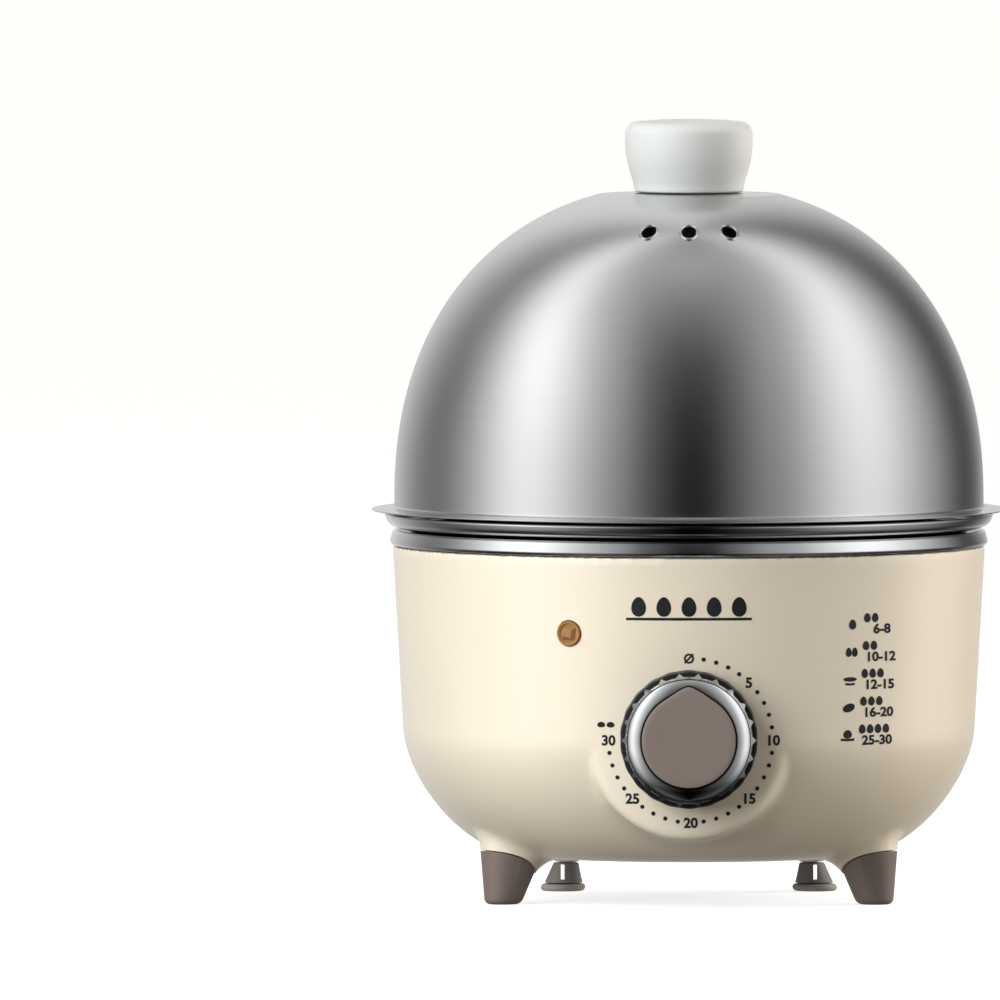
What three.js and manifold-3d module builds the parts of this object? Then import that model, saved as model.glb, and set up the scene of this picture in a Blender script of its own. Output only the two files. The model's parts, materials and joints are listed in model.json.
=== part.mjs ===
// An electric egg cooker: a pressed steel dome lid over an egg tray and a water pan, on a round
// plastic base that holds the heater, the clockwork timer and the wiring.
// Millimetres, +Z up, front towards -Y. Everything is laid out around the upright body axis, and
// the finished assembly is then moved so that the origin is under the middle of its bounding box.

import * as THREE from "three";
import { mergeVertices } from "three/addons/utils/BufferGeometryUtils.js";
import Module from "manifold-3d";

const wasm = await Module();
wasm.setup();

// ---- Driving dimensions ----

const gap = 0.3; // between pieces that rest on each other
const sheet = 0.8; // pressed steel
const roundSides = 32; // facets of the large round pieces
const smallSides = 12; // facets of screws, studs and holes

const lid = {
  radius: 82.5, // outside, where the wall meets the flange
  wallZ: 112.1, // where the wall is upright
  rise: 88.5, // from wallZ to the uncut top
  fullness: 2.22, // exponent of the dome's outline: 2 is an ellipse
  plateauRadius: 27, // the top is pressed flat inside this
  plateauZ: 198,
  flangeRadius: 88.8,
  flangeZ: 110.1, // top of the flange at the wall, from where it slopes down
  holeRadius: 2.4,
};
const lidFixing = {
  washerHole: 2.4,
  washerRadius: 7,
  washerThickness: 1,
  headRadius: 3.6,
  headHeight: 2.4,
  shankRadius: 1.6,
  reach: 10, // how far the screw goes up into the knob
};
const vent = { z: 188.7, halfWidth: 2.4, halfLength: 3.3, spacing: 11.2, tilt: 60 };
const tray = { floorZ: 95.4, floorRadius: 71.7, lipRadius: 84.9, lipZ: 108.5 };
const egg = { holeRadius: 18, ringRadius: 45.5, count: 6 }; // and one more in the middle
const steam = { holeRadius: 2, ringRadius: 26.3 };
const gasket = { inner: 80.7, outer: 82.2, top: 101.1 };
const pan = { floorZ: 79, floorRadius: 58, collarRadius: 83.6, crestZ: 103.9, hemZ: 99.6 };
const body = {
  topRadius: 82.9,
  topZ: 99.3,
  taper: 0.067, // radius lost per mm of drop
  shoulderZ: 47, // the wall starts to curve in below this
  underRadius: 48,
  underZ: 12.8,
  fullness: 1.72, // exponent of the lower outline
  wall: 2.4,
};
const dial = {
  z: 49,
  radius: 28.8, // a round pad that carries the upright wall on down to here
  face: 80.9, // the plane that the knob turns against
  depth: 40, // how far in the pad's cutting tools reach
  shaftHole: 5.5,
};
const knob = {
  radius: 19.2,
  ribs: 22,
  ribDepth: 0.9,
  back: 0.9,
  skirtFront: 9.5,
  seat: 9.8, // the bezel and the cap stand on this plane
  front: 14.4,
  bezelRadius: 18.2,
  capRadius: 12.9,
  tip: 14.8,
  tipAngle: 0.42, // radians each side of the tip
  hollowRadius: 16.8, // open from behind, round the hub
  hollowDepth: 6.5,
  hubRadius: 5.2,
  boreRadius: 3.3,
  flat: 2.2, // from the bore's middle
};
const lamp = { x: -33, z: 78, radius: 3.4 };
const gland = { z: 58, flangeRadius: 8, neckRadius: 5.6, boreRadius: 3.5 };
const leg = {
  lean: -0.195, // outward shift per mm of drop
  splitZ: 12.6, // the joint between a front leg and its foot
  splitTilt: 25,
  splitAt: 56,
  pegRadius: 3,
  pegLow: 6,
  pegHigh: 17.6,
  rearPegRadius: 1.6,
  rearPegHigh: 12,
};
const legPlaces = {
  front_left: [-52, -26],
  front_right: [52, -26],
  rear_left: [-35.5, 46],
  rear_right: [35.5, 46],
};
const cover = {
  radius: 46.2,
  z: 12.9,
  thickness: 1.3,
  ledge: 3.2,
  slots: [-14, -7, 0, 7, 14],
  slotWidth: 2.4,
  slotFront: -34,
  slotBack: -18,
};
const tie = {
  angles: [90, 210, 330],
  ring: 28, // the three long screws stand on this circle
  screwRadius: 1.7,
  screwTop: 70,
  headRadius: 3.8,
  headLow: 14.4,
  headHigh: 17.7,
  pillarRadius: 6, // on the bottom cover
  pillarTop: 59.7,
  studRadius: 3.5, // under the pan
  studLow: 61.1,
};
const shield = { z: 60, radius: 51.5, hole: 13, depth: 10 };
const plate = { z: 74, thickness: 3.9, radius: 48 };
const heater = {
  ring: 40,
  radius: 3.2,
  z: 69.8,
  gapAngle: 22,
  bend: 9, // degrees of the ring that each end takes to turn down
  endZ: 54,
  bush: 5,
  bushRadius: 4,
  tab: 7.7,
  tabHalfWidth: 3.1,
};
const fuse = { x: -13, y: 15, halfLength: 7, radius: 2, drop: 2.6, clipHalfWidth: 3 };
const earth = { x: [2, 5], y: 41, foot: 7, drop: 8, thickness: 0.8 };
const bracket = { halfWidth: 4.5, halfLength: 19, low: 61.1, high: 61.9, hole: 2 };
const terminals = { front: 42, back: 52, halfWidth: 16, low: 17.1, high: 29, pitch: 10 };
const thermostatPart = { radius: 8, low: 62.3, high: 70.5, bladeX: 6.5, bladeTip: 54 };
const timer = {
  halfWidth: 18,
  halfHeight: 16,
  front: -9.2,
  back: -24.4,
  wall: 1.4,
  backThickness: 1.5,
  plateHalfWidth: 19,
  plateHalfHeight: 9,
  plateThickness: 1.8,
  shaftRadius: 3,
  shaftFlat: 1.9,
  shaftFront: 9,
  camRadius: 11.2,
  camThickness: 2.5,
  barrelRadius: 12.5,
  screwX: 12.5,
  screwHole: 1.8,
  screwRadius: 1.5,
  screwHead: 2.8,
};
const contact = { reach: 11, leafHalfWidth: 3, tabInner: 5, tabEnd: 33, moving: -11.9, fixed: -13.9 };
const wire = { radius: 1.2, end: 0.8 }; // end: between a wire and what it is crimped to

const middleY = (dial.face + knob.front - lid.flangeRadius) / 2; // from the box's middle to the axis

// ---- Materials ----

const finish = (color, roughness, metalness = 0) =>
  new THREE.MeshStandardMaterial({ color, roughness, metalness });
const steel = finish(0xc4c6c8, 0.28, 1);
const dullSteel = finish(0x9b9c9e, 0.5, 1);
const chrome = finish(0xd4d6d8, 0.12, 1);
const brass = finish(0xb79a5a, 0.35, 1);
const aluminium = finish(0xaeb0b2, 0.45, 1);
const creamPlastic = finish(0xe8dcc8, 0.35);
const whitePlastic = finish(0xe4e3dc, 0.45);
const brownPlastic = finish(0x7e7066, 0.5);
const greyPlastic = finish(0x736e68, 0.55);
const greyRubber = finish(0x9a928b, 0.8);
const blackPlastic = finish(0x191a1c, 0.4);
const silicone = finish(0xd0cfc9, 0.7);
const ceramic = finish(0xe9e6dc, 0.6);
const amberLens = finish(0xa8743a, 0.15);
const glass = finish(0xe0d6c8, 0.05);
const brownWire = finish(0x5a3a28, 0.5);
const redWire = finish(0x9a2c22, 0.5);
const blueWire = finish(0x2a4f8a, 0.5);
const greenWire = finish(0x4c8a3c, 0.5);

// ---- Making solids ----

const rad = THREE.MathUtils.degToRad;

// A closed three.js geometry as a manifold-3d solid, whichever way round its faces are.
function solid(geometry) {
  const loose = geometry.index ? geometry.toNonIndexed() : geometry;
  const bare = new THREE.BufferGeometry();
  bare.setAttribute("position", loose.getAttribute("position"));
  const merged = mergeVertices(bare, 1e-4);
  const vertProperties = merged.attributes.position.array;
  const corners = merged.index.array;
  const kept = [];
  for (let i = 0; i < corners.length; i += 3) {
    const [a, b, c] = corners.slice(i, i + 3);
    if (a !== b && b !== c && c !== a) kept.push([a, b, c]);
  }
  const build = (faces) =>
    new wasm.Manifold(
      new wasm.Mesh({ numProp: 3, vertProperties, triVerts: new Uint32Array(faces.flat()) }),
    );
  const made = build(kept);
  return made.volume() > 0 ? made : build(kept.map(([a, b, c]) => [a, c, b]));
}

function geometryOf(made) {
  const { vertProperties, triVerts } = made.getMesh();
  return new THREE.BufferGeometry()
    .setAttribute("position", new THREE.BufferAttribute(vertProperties, 3))
    .setIndex(new THREE.BufferAttribute(triVerts, 1));
}

const join = (...solids) => solids.reduce((a, b) => a.add(b));
const cut = (from, ...tools) => tools.reduce((a, b) => a.subtract(b), from);

// A turned solid about Z. The outline is [radius, z] points, on the axis at both ends or closed.
function turned(outline, sides = roundSides) {
  const points = outline.map(([r, z]) => new THREE.Vector2(r, z));
  return solid(new THREE.LatheGeometry(points, sides).rotateX(Math.PI / 2));
}

const closed = (outline) => [...outline, outline[0]];

// A turned ring of rectangular section.
const ring = (inner, outer, low, high, sides = roundSides) =>
  turned(closed([[inner, low], [outer, low], [outer, high], [inner, high]]), sides);

// An upright round bar from low to high.
function bar(radius, low, high, { x = 0, y = 0, sides = smallSides } = {}) {
  const shape = new THREE.CylinderGeometry(radius, radius, high - low, sides);
  return solid(shape.rotateX(Math.PI / 2).translate(x, y, (low + high) / 2));
}

// A block between two opposite corners.
function block([x0, y0, z0], [x1, y1, z1]) {
  const shape = new THREE.BoxGeometry(x1 - x0, y1 - y0, z1 - z0);
  return solid(shape.translate((x0 + x1) / 2, (y0 + y1) / 2, (z0 + z1) / 2));
}

// A flat outline, as a THREE.Shape, raised from low to high.
function raised(shape, low, high) {
  const made = new THREE.ExtrudeGeometry(shape, { depth: high - low, bevelEnabled: false });
  return solid(made.translate(0, 0, low));
}

// A round wire or tube along a smooth line through the points.
function tube(points, radius, { sides = 8, steps = 24 } = {}) {
  const path = new THREE.CatmullRomCurve3(
    points.map((p) => new THREE.Vector3(...p)),
    false,
    "centripetal",
  );
  const section = new THREE.Shape().absarc(0, 0, radius, 0, 2 * Math.PI);
  return solid(
    new THREE.ExtrudeGeometry(section, { steps, curveSegments: sides / 2, extrudePath: path }),
  );
}

// A solid moved by a matrix, such as one from place().
const moved = (made, matrix) => solid(geometryOf(made).applyMatrix4(matrix));

function place({ x = 0, y = 0, z = 0, turnX = 0, turnY = 0, turnZ = 0 }) {
  const turn = new THREE.Euler(rad(turnX), rad(turnY), rad(turnZ), "ZYX");
  return new THREE.Matrix4().makeRotationFromEuler(turn).setPosition(x, y, z);
}

const aroundAxis = (made, degrees) => moved(made, place({ turnZ: degrees }));

const range = (count) => Array.from({ length: count }, (_, i) => i);
const onRing = (radius, degrees) => [
  radius * Math.cos(rad(degrees)),
  radius * Math.sin(rad(degrees)),
];

// ---- The assembly and its groups ----

const cooker = new THREE.Group();
const assembly = new THREE.Group();
assembly.position.y = middleY;
cooker.add(assembly);

// Local +Z points out of the dial, towards the user, and local +Y is up.
const dialGroup = new THREE.Group();
dialGroup.position.set(0, -dial.face, dial.z);
dialGroup.rotation.x = Math.PI / 2;
assembly.add(dialGroup);

function add(name, made, material, group = assembly) {
  const mesh = new THREE.Mesh(geometryOf(made), material);
  mesh.name = name;
  group.add(mesh);
}

// ---- Lid: dome, knob, washer and screw ----

// Half of the dome's outline from the wall up to the plateau, offset inwards by inset.
function domeOutline(inset) {
  const steps = 7;
  const radius = lid.radius - inset;
  const rise = lid.rise - inset;
  const power = 2 / lid.fullness;
  const end = Math.acos((lid.plateauRadius / radius) ** (1 / power));
  return range(steps + 1).map((i) => {
    const angle = (end * i) / steps;
    return [radius * Math.cos(angle) ** power, lid.wallZ + rise * Math.sin(angle) ** power];
  });
}

function lidDome() {
  const rim = lid.flangeRadius;
  const outline = closed([
    [lid.holeRadius, lid.plateauZ - sheet],
    [15.5, lid.plateauZ - sheet],
    [22, lid.plateauZ - sheet - 0.3],
    ...domeOutline(sheet).reverse(),
    [lid.radius - sheet, lid.flangeZ - 0.2],
    [lid.radius + 0.5, lid.flangeZ - sheet],
    [rim - 0.8, lid.flangeZ - 1.65],
    [rim - 0.2, lid.flangeZ - 1.6],
    [rim, lid.flangeZ - 1.35],
    [rim - 0.6, lid.flangeZ - 1.1],
    [lid.radius + 0.9, lid.flangeZ + 0.1],
    ...domeOutline(0),
    [22, lid.plateauZ - 0.3],
    [15.5, lid.plateauZ],
    [lid.holeRadius, lid.plateauZ],
  ]);
  const height = (vent.z - lid.wallZ) / lid.rise;
  const ventRing = lid.radius * (1 - height ** lid.fullness) ** (1 / lid.fullness);
  const punch = new THREE.CylinderGeometry(1, 1, 12, smallSides)
    .rotateX(Math.PI / 2)
    .scale(vent.halfWidth, vent.halfLength, 1)
    .rotateX(rad(90 - vent.tilt))
    .translate(0, -ventRing, vent.z);
  const turn = THREE.MathUtils.radToDeg(Math.asin(vent.spacing / ventRing));
  return cut(turned(outline), ...[-turn, 0, turn].map((a) => aroundAxis(solid(punch), a)));
}

function lidKnob() {
  const foot = lid.plateauZ + gap;
  const outline = [
    [0, 11.7],
    [1.9, 11.7],
    [1.9, 0],
    [15, 0],
    [15.2, 1],
    [17.1, 6.6],
    [17.9, 9.5],
    [17.9, 14.4],
    [17.5, 16.7],
    [16.2, 18.9],
    [12.6, 20],
    [0, 20.3],
  ];
  return turned(outline.map(([r, z]) => [r, z + foot]), 24);
}

const washerTop = lid.plateauZ - sheet - gap;
const washerLow = washerTop - lidFixing.washerThickness;

function lidScrew() {
  const headTop = washerLow - gap;
  const head = bar(lidFixing.headRadius, headTop - lidFixing.headHeight, headTop);
  return join(head, bar(lidFixing.shankRadius, headTop - 0.5, lid.plateauZ + lidFixing.reach));
}

const lidWasher = () => ring(lidFixing.washerHole, lidFixing.washerRadius, washerLow, washerTop, 24);

add("lid_dome", lidDome(), steel);
add("lid_knob", lidKnob(), whitePlastic);
add("lid_knob_washer", lidWasher(), dullSteel);
add("lid_knob_screw", lidScrew(), dullSteel);

// ---- Egg tray ----

function eggTray() {
  const floor = tray.floorZ;
  const wallAndRim = turned([
    [0, floor - sheet],
    [tray.floorRadius + 0.3, floor - sheet],
    [73.6, 96.3],
    [77.4, 101.8],
    [78, 103.4],
    [79.2, pan.crestZ + gap],
    [82, pan.crestZ + gap + 0.05],
    [83.3, 105],
    [84.3, 106.3],
    [tray.lipRadius, 107.8],
    [tray.lipRadius, tray.lipZ],
    [84.1, tray.lipZ],
    [83.5, 107.2],
    [82.6, 105.7],
    [81.6, 105.1],
    [79, 105.05],
    [77.4, 104.1],
    [76.6, 102.2],
    [72.9, 96.7],
    [tray.floorRadius, floor],
    [0, floor],
  ]);
  const seats = [[0, 0], ...range(egg.count).map((i) => onRing(egg.ringRadius, 60 * i))];
  const steamHoles = range(egg.count).map((i) => onRing(steam.ringRadius, 60 * i + 30));
  return cut(
    wallAndRim,
    ...seats.map(([x, y]) => bar(egg.holeRadius, floor - 5, floor + 5, { x, y, sides: 24 })),
    ...steamHoles.map(([x, y]) => bar(steam.holeRadius, floor - 5, floor + 5, { x, y, sides: 8 })),
  );
}

add("egg_tray", eggTray(), steel);

// ---- Water pan, its gasket, and the three tie studs under it ----

function waterPan() {
  const under = pan.floorZ - sheet;
  const dish = turned([
    [0, under],
    [pan.floorRadius + 0.1, under],
    [62.4, 79.2],
    [66.2, 82.4],
    [74.8, 93.6],
    [79.5, 101.8],
    [80.3, 102.8],
    [81.6, 102.9],
    [82.6, 101],
    [82.4, pan.hemZ],
    [83.2, pan.hemZ],
    [pan.collarRadius, 100.6],
    [82.5, 103.4],
    [81.5, pan.crestZ],
    [79.8, 103.6],
    [78.6, 102.2],
    [74, 94],
    [65.5, 83],
    [62, 80],
    [pan.floorRadius, pan.floorZ],
    [0, pan.floorZ],
  ]);
  const studs = tie.angles.map((angle) => {
    const [x, y] = onRing(tie.ring, angle);
    const outside = bar(tie.studRadius, tie.studLow, under + 0.4, { x, y });
    return cut(outside, bar(tie.screwRadius + 0.4, shield.z, under - 2, { x, y }));
  });
  return join(dish, ...studs);
}

add("water_pan", waterPan(), steel);
add("pan_gasket", ring(gasket.inner, gasket.outer, body.topZ + gap, gasket.top), silicone);

// ---- Base shell ----

// Radius of the upright wall at a height, as if it went on down to the floor.
const wallRadius = (z, inset = 0) => body.topRadius - inset - body.taper * (body.topZ - z);

// Radius of the base at a height, offset inwards by inset.
function bodyRadius(z, inset = 0) {
  const straight = wallRadius(z, inset);
  const drop = body.shoulderZ - body.underZ - inset;
  const down = Math.min(1, Math.max(0, (body.shoulderZ - z) / drop));
  const curl = (1 - down ** body.fullness) ** (1 / body.fullness);
  return body.underRadius + (straight - body.underRadius) * curl;
}

// Points of the base's outline from low to high.
function bodyOutline(low, high, inset) {
  const steps = 6;
  const depth = body.shoulderZ - body.underZ - inset;
  const curve = range(steps).map((i) => body.shoulderZ - depth * Math.cos(rad(8 + (75 * i) / steps)));
  const heights = [low, ...curve.filter((z) => z > low + 0.5), 56, 78, high];
  return heights.map((z) => [bodyRadius(z, inset), z]);
}

// One leg as a turned piece, leaning outwards and standing at its place on the floor.
function standLeg(outline, [x, y]) {
  const lean = new THREE.Matrix4().set(1, 0, leg.lean, 0, 0, 1, 0, 0, 0, 0, 1, 0, 0, 0, 0, 1);
  const stand = place({ x, y, turnZ: THREE.MathUtils.radToDeg(Math.atan2(y, x)) });
  return moved(turned(outline, smallSides + 4), stand.multiply(lean));
}

const frontLegOutline = [
  [0, 0],
  [4.1, 0],
  [5, 0.5],
  [5.5, 1.6],
  [8.4, 13],
  [10.2, 20],
  [10.2, 24],
  [0, 24],
];
const rearStubOutline = [
  [0, 8.3],
  [3.6, 8.3],
  [5, 14],
  [8, 24],
  [0, 24],
];

// The block over (side 1) or under (side -1) the tilted joint between a front leg and its foot.
function splitBlock([x, y], side) {
  const reach = 30;
  const shape = new THREE.BoxGeometry(reach, reach, reach).translate(0, 0, side * (reach / 2 + 0.15));
  const distance = Math.hypot(x, y);
  const tilt = place({ x: leg.splitAt - distance, z: leg.splitZ, turnY: -leg.splitTilt });
  const stand = place({ x, y, turnZ: THREE.MathUtils.radToDeg(Math.atan2(y, x)) });
  return solid(shape.applyMatrix4(tilt).applyMatrix4(stand));
}

const isFront = (name) => name.startsWith("front");

// The peg on top of a front foot, or the socket for it in the leg.
const footPeg = (at, radius, high) =>
  standLeg([[0, leg.pegLow], [radius, leg.pegLow], [radius, high], [0, high]], at);

// A solid laid out along +Z, turned to point out of the front wall at the lamp's place.
function atLamp(made) {
  const wall = bodyRadius(lamp.z);
  const turn = THREE.MathUtils.radToDeg(Math.asin(lamp.x / wall));
  return aroundAxis(moved(made, place({ y: -wall, z: lamp.z, turnX: 90 })), turn);
}

// The same, out of the rear wall at the cord's place, or out of the dial's face.
const atGland = (made) => moved(made, place({ y: bodyRadius(gland.z), z: gland.z, turnX: -90 }));
const atDial = (made) => moved(made, place({ y: -dial.face, z: dial.z, turnX: 90 }));

// The upright wall's own curve inside the dial's circle, offset inwards by inset.
function dialPad(inset) {
  const low = dial.z - 30;
  const high = dial.z + 30;
  const wall = turned([[0, low], [wallRadius(low, inset), low], [wallRadius(high, inset), high], [0, high]]);
  return wall.intersect(atDial(bar(dial.radius - inset, -dial.depth, 5, { sides: roundSides })));
}

function bodyShell() {
  const floor = body.underZ + 4;
  const mouth = body.topZ + 1;
  const outer = turned([
    [0, body.underZ],
    [body.underRadius, body.underZ],
    ...bodyOutline(body.underZ + 0.2, body.topZ, 0),
    [0, body.topZ],
  ]);
  const cavity = turned([[0, floor], ...bodyOutline(floor, mouth, body.wall), [0, mouth]]);
  const pad = dialPad(0);
  const padCavity = dialPad(body.wall);
  const places = Object.entries(legPlaces);
  const front = places.filter(([name]) => isFront(name)).map(([, at]) => at);
  const rear = places.filter(([name]) => !isFront(name)).map(([, at]) => at);
  const legs = [
    ...front.map((at) => standLeg(frontLegOutline, at).intersect(splitBlock(at, 1))),
    ...rear.map((at) => standLeg(rearStubOutline, at)),
  ];
  const screwHoles = [-1, 1].map((side) => bar(timer.screwHole, -9, 3, { x: side * timer.screwX }));
  const socket = leg.rearPegRadius + gap;
  const socketTop = leg.rearPegHigh + 0.4;
  return cut(
    join(outer, pad, ...legs),
    cavity,
    padCavity,
    ...front.map((at) => footPeg(at, leg.pegRadius + gap, leg.pegHigh + 0.4)),
    ...rear.map((at) => standLeg([[0, 7], [socket, 7], [socket, socketTop], [0, socketTop]], at)),
    bar(cover.radius + 0.4, 0, cover.z + cover.thickness + gap, { sides: roundSides }),
    bar(cover.radius - cover.ledge, 0, floor + 1, { sides: roundSides }),
    ...[bar(dial.shaftHole, -9, 3), ...screwHoles].map(atDial),
    atLamp(bar(lamp.radius + gap, -6, 3)),
    atGland(bar(gland.neckRadius + gap, -12, 6)),
  );
}

add("body_shell", bodyShell(), creamPlastic);

// ---- Feet ----

for (const [name, at] of Object.entries(legPlaces)) {
  if (isFront(name)) {
    const tip = standLeg(frontLegOutline, at).intersect(splitBlock(at, -1));
    add(`foot_${name}`, join(tip, footPeg(at, leg.pegRadius, leg.pegHigh)), brownPlastic);
  } else {
    const [peg, pegTop] = [leg.rearPegRadius, leg.rearPegHigh];
    const cone = standLeg([[0, 2.3], [5.4, 2.3], [3.5, 8], [peg, 8], [peg, pegTop], [0, pegTop]], at);
    const pad = standLeg([[0, 0], [5.6, 0], [6.3, 0.5], [6.3, 1.5], [5.8, 2], [0, 2]], at);
    add(`foot_${name}`, cone, greyPlastic);
    add(`foot_pad_${name}`, pad, greyRubber);
  }
}

// ---- Bottom cover and the three long tie screws ----

function bottomCover() {
  const disc = bar(cover.radius, cover.z, cover.z + cover.thickness, { sides: roundSides });
  const pillars = tie.angles.map((angle) => {
    const [x, y] = onRing(tie.ring, angle);
    return bar(tie.pillarRadius, cover.z, tie.pillarTop, { x, y });
  });
  const bores = tie.angles.flatMap((angle) => {
    const [x, y] = onRing(tie.ring, angle);
    const headWell = bar(tie.headRadius + 0.4, 10, tie.headHigh + gap, { x, y });
    return [bar(tie.screwRadius + 0.7, 10, 65, { x, y }), headWell];
  });
  const half = cover.slotWidth / 2;
  const slots = cover.slots.map((x) =>
    block([x - half, cover.slotFront, 10], [x + half, cover.slotBack, 16]),
  );
  return cut(join(disc, ...pillars), ...bores, ...slots);
}

add("bottom_cover", bottomCover(), blackPlastic);
tie.angles.forEach((angle, i) => {
  const [x, y] = onRing(tie.ring, angle);
  const head = bar(tie.headRadius, tie.headLow, tie.headHigh, { x, y });
  const shank = bar(tie.screwRadius, tie.headHigh - 0.7, tie.screwTop, { x, y });
  add(`tie_screw_${i + 1}`, join(head, shank), dullSteel);
});

// ---- Heat shield, heat plate and heating element ----

function heatShield() {
  const dish = turned(
    closed([
      [shield.hole, shield.z],
      [shield.radius, shield.z],
      [shield.radius + 1, shield.z + shield.depth],
      [shield.radius + 0.2, shield.z + shield.depth],
      [shield.radius - 0.8, shield.z + sheet],
      [shield.hole, shield.z + sheet],
    ]),
  );
  const screwHoles = tie.angles.map((angle) => {
    const [x, y] = onRing(tie.ring, angle);
    return bar(tie.screwRadius + 0.5, 55, 65, { x, y });
  });
  const heaterHoles = [1, -1].map((side) => {
    const [x, y] = onRing(heater.ring, 90 + side * heater.gapAngle);
    return bar(heater.radius + 1.8, 55, 65, { x, y });
  });
  return cut(dish, ...screwHoles, ...heaterHoles);
}

function heatPlate() {
  const studHoles = tie.angles.map((angle) => {
    const [x, y] = onRing(tie.ring, angle);
    return bar(tie.studRadius + 0.5, 70, 80, { x, y });
  });
  const disc = bar(plate.radius, plate.z, plate.z + plate.thickness, { sides: roundSides });
  return cut(disc, ...studHoles);
}

function heatingElement() {
  const sweep = 360 - 2 * heater.gapAngle;
  const start = 90 + heater.gapAngle;
  const arc = range(15).map((i) => [
    ...onRing(heater.ring, start + heater.bend + ((sweep - 2 * heater.bend) * i) / 14),
    heater.z,
  ]);
  const drop = (angle) => {
    const [x, y] = onRing(heater.ring, angle);
    return [
      [x, y, heater.endZ],
      [x, y, heater.endZ + 5],
      [x, y, heater.z - 5],
    ];
  };
  const line = [...drop(start), ...arc, ...drop(start + sweep).reverse()];
  return tube(line, heater.radius, { sides: 8, steps: 36 });
}

add("heat_shield", heatShield(), dullSteel);
add("heat_plate", heatPlate(), aluminium);
add("heating_element", heatingElement(), dullSteel);
for (const [name, side] of [["left", 1], ["right", -1]]) {
  const [x, y] = onRing(heater.ring, 90 + side * heater.gapAngle);
  const top = heater.endZ - gap;
  add(`heater_bush_${name}`, bar(heater.bushRadius, top - heater.bush, top, { x, y }), ceramic);
  const tabTop = top - heater.bush - gap;
  const half = heater.tabHalfWidth;
  const tab = block([x - half, y - 0.4, tabTop - heater.tab], [x + half, y + 0.4, tabTop]);
  add(`heater_tab_${name}`, tab, brass);
}

// ---- Dry-boil thermostat and thermal fuse, pressed against the heat plate ----

// A button that touches the plate, with blades that hang down through the hole in the shield.
function thermostat() {
  const { radius, low, high, bladeX, bladeTip } = thermostatPart;
  const housing = bar(radius, low, high, { sides: 20 });
  const face = bar(radius - 1.5, high - 0.5, plate.z - gap, { sides: 20 });
  const blades = [-bladeX, bladeX].map((x) => block([x - 0.4, -3, bladeTip], [x + 0.4, 3, low + 0.7]));
  return join(housing, face, ...blades);
}

function thermostatBracket() {
  const { halfWidth, halfLength, low, high, hole } = bracket;
  const strap = block([-halfWidth, -halfLength, low], [halfWidth, halfLength, high]);
  return cut(strap, bar(hole, low - 6, high + 3));
}

const fuseZ = shield.z - gap - fuse.drop;

// A hat-shaped strap that holds the fuse up against the shield.
function fuseClip() {
  const outer = [[-7, 0], [-7, -0.8], [-3.3, -0.8], [-3.3, -6], [3.3, -6], [3.3, -0.8], [7, -0.8], [7, 0]];
  const inner = [[2.5, 0], [2.5, -5.2], [-2.5, -5.2], [-2.5, 0]];
  const shape = new THREE.Shape([...outer, ...inner].map(([x, z]) => new THREE.Vector2(x, z)));
  const strap = raised(shape, -fuse.clipHalfWidth, fuse.clipHalfWidth);
  return moved(strap, place({ x: fuse.x, y: fuse.y, z: shield.z - gap, turnX: 90 }));
}

function thermalFuse() {
  const along = bar(fuse.radius, -fuse.halfLength, fuse.halfLength);
  return moved(along, place({ x: fuse.x, y: fuse.y, z: fuseZ, turnX: 90 }));
}

function earthTag() {
  const top = shield.z - gap;
  const { x, y, foot, drop, thickness: t } = earth;
  const flatFoot = block([0, y - 3, top - t], [foot, y - 3 + foot, top]);
  return join(flatFoot, block([x[0], y, top - drop], [x[1], y + t, top - t / 2]));
}

add("thermostat", thermostat(), blackPlastic);
add("thermostat_bracket", thermostatBracket(), dullSteel);
add("thermal_fuse", thermalFuse(), ceramic);
add("fuse_clip", fuseClip(), dullSteel);
add("earth_tag", earthTag(), brass);

// ---- Clockwork timer, in the dial's own frame ----

const inDial = (name, made, material) => add(name, made, material, dialGroup);

function timerHousing() {
  const { halfWidth: w, halfHeight: h, wall: t, front, back } = timer;
  const box = block([-w, -h, back], [w, h, front]);
  const inside = block([-w + t, -h + t, back - 1], [w - t, h - t, front - t]);
  return cut(box, inside, bar(4, front - 5, front + 1));
}

function timerBack() {
  const { halfWidth: w, halfHeight: h, back } = timer;
  const plateOnBack = block([-w, -h, back - gap - timer.backThickness], [w, h, back - gap]);
  const slot = (side, y) => {
    const [x0, x1] = [contact.tabInner - gap, contact.reach + gap].map((x) => side * x);
    return block([Math.min(x0, x1), y - 0.6, back - 4], [Math.max(x0, x1), y + 0.6, back + 1]);
  };
  return cut(plateOnBack, slot(-1, contact.moving), slot(1, contact.fixed));
}

// A leaf under the cam, with its tab to one side so that the two tabs stand apart.
function timerContact(side, y) {
  const { reach, leafHalfWidth, tabInner } = contact;
  const across = (from, to, low, high) =>
    block([Math.min(from, to), y - 0.3, low], [Math.max(from, to), y + 0.3, high]);
  return join(
    across(-leafHalfWidth, leafHalfWidth, timer.back + 1.5, timer.back + 6.5),
    across(0, side * reach, timer.back + 1, timer.back + 3),
    across(side * tabInner, side * reach, -contact.tabEnd, timer.back + 1.5),
  );
}

function timerPlate() {
  const { plateHalfWidth: w, plateHalfHeight: h, plateThickness: t } = timer;
  const strap = block([-w, -h, timer.front + gap], [w, h, timer.front + gap + t]);
  const holes = [-1, 1].map((side) => bar(timer.screwHole, -12, 0, { x: side * timer.screwX }));
  return cut(strap, bar(4.3, -12, 0), ...holes);
}

// The flat on the front end drives the knob.
const timerShaft = () =>
  cut(
    bar(timer.shaftRadius, timer.back + 1, timer.shaftFront, { sides: 20 }),
    block([-4, timer.shaftFlat, -1], [4, 5, 10]),
  );

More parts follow.
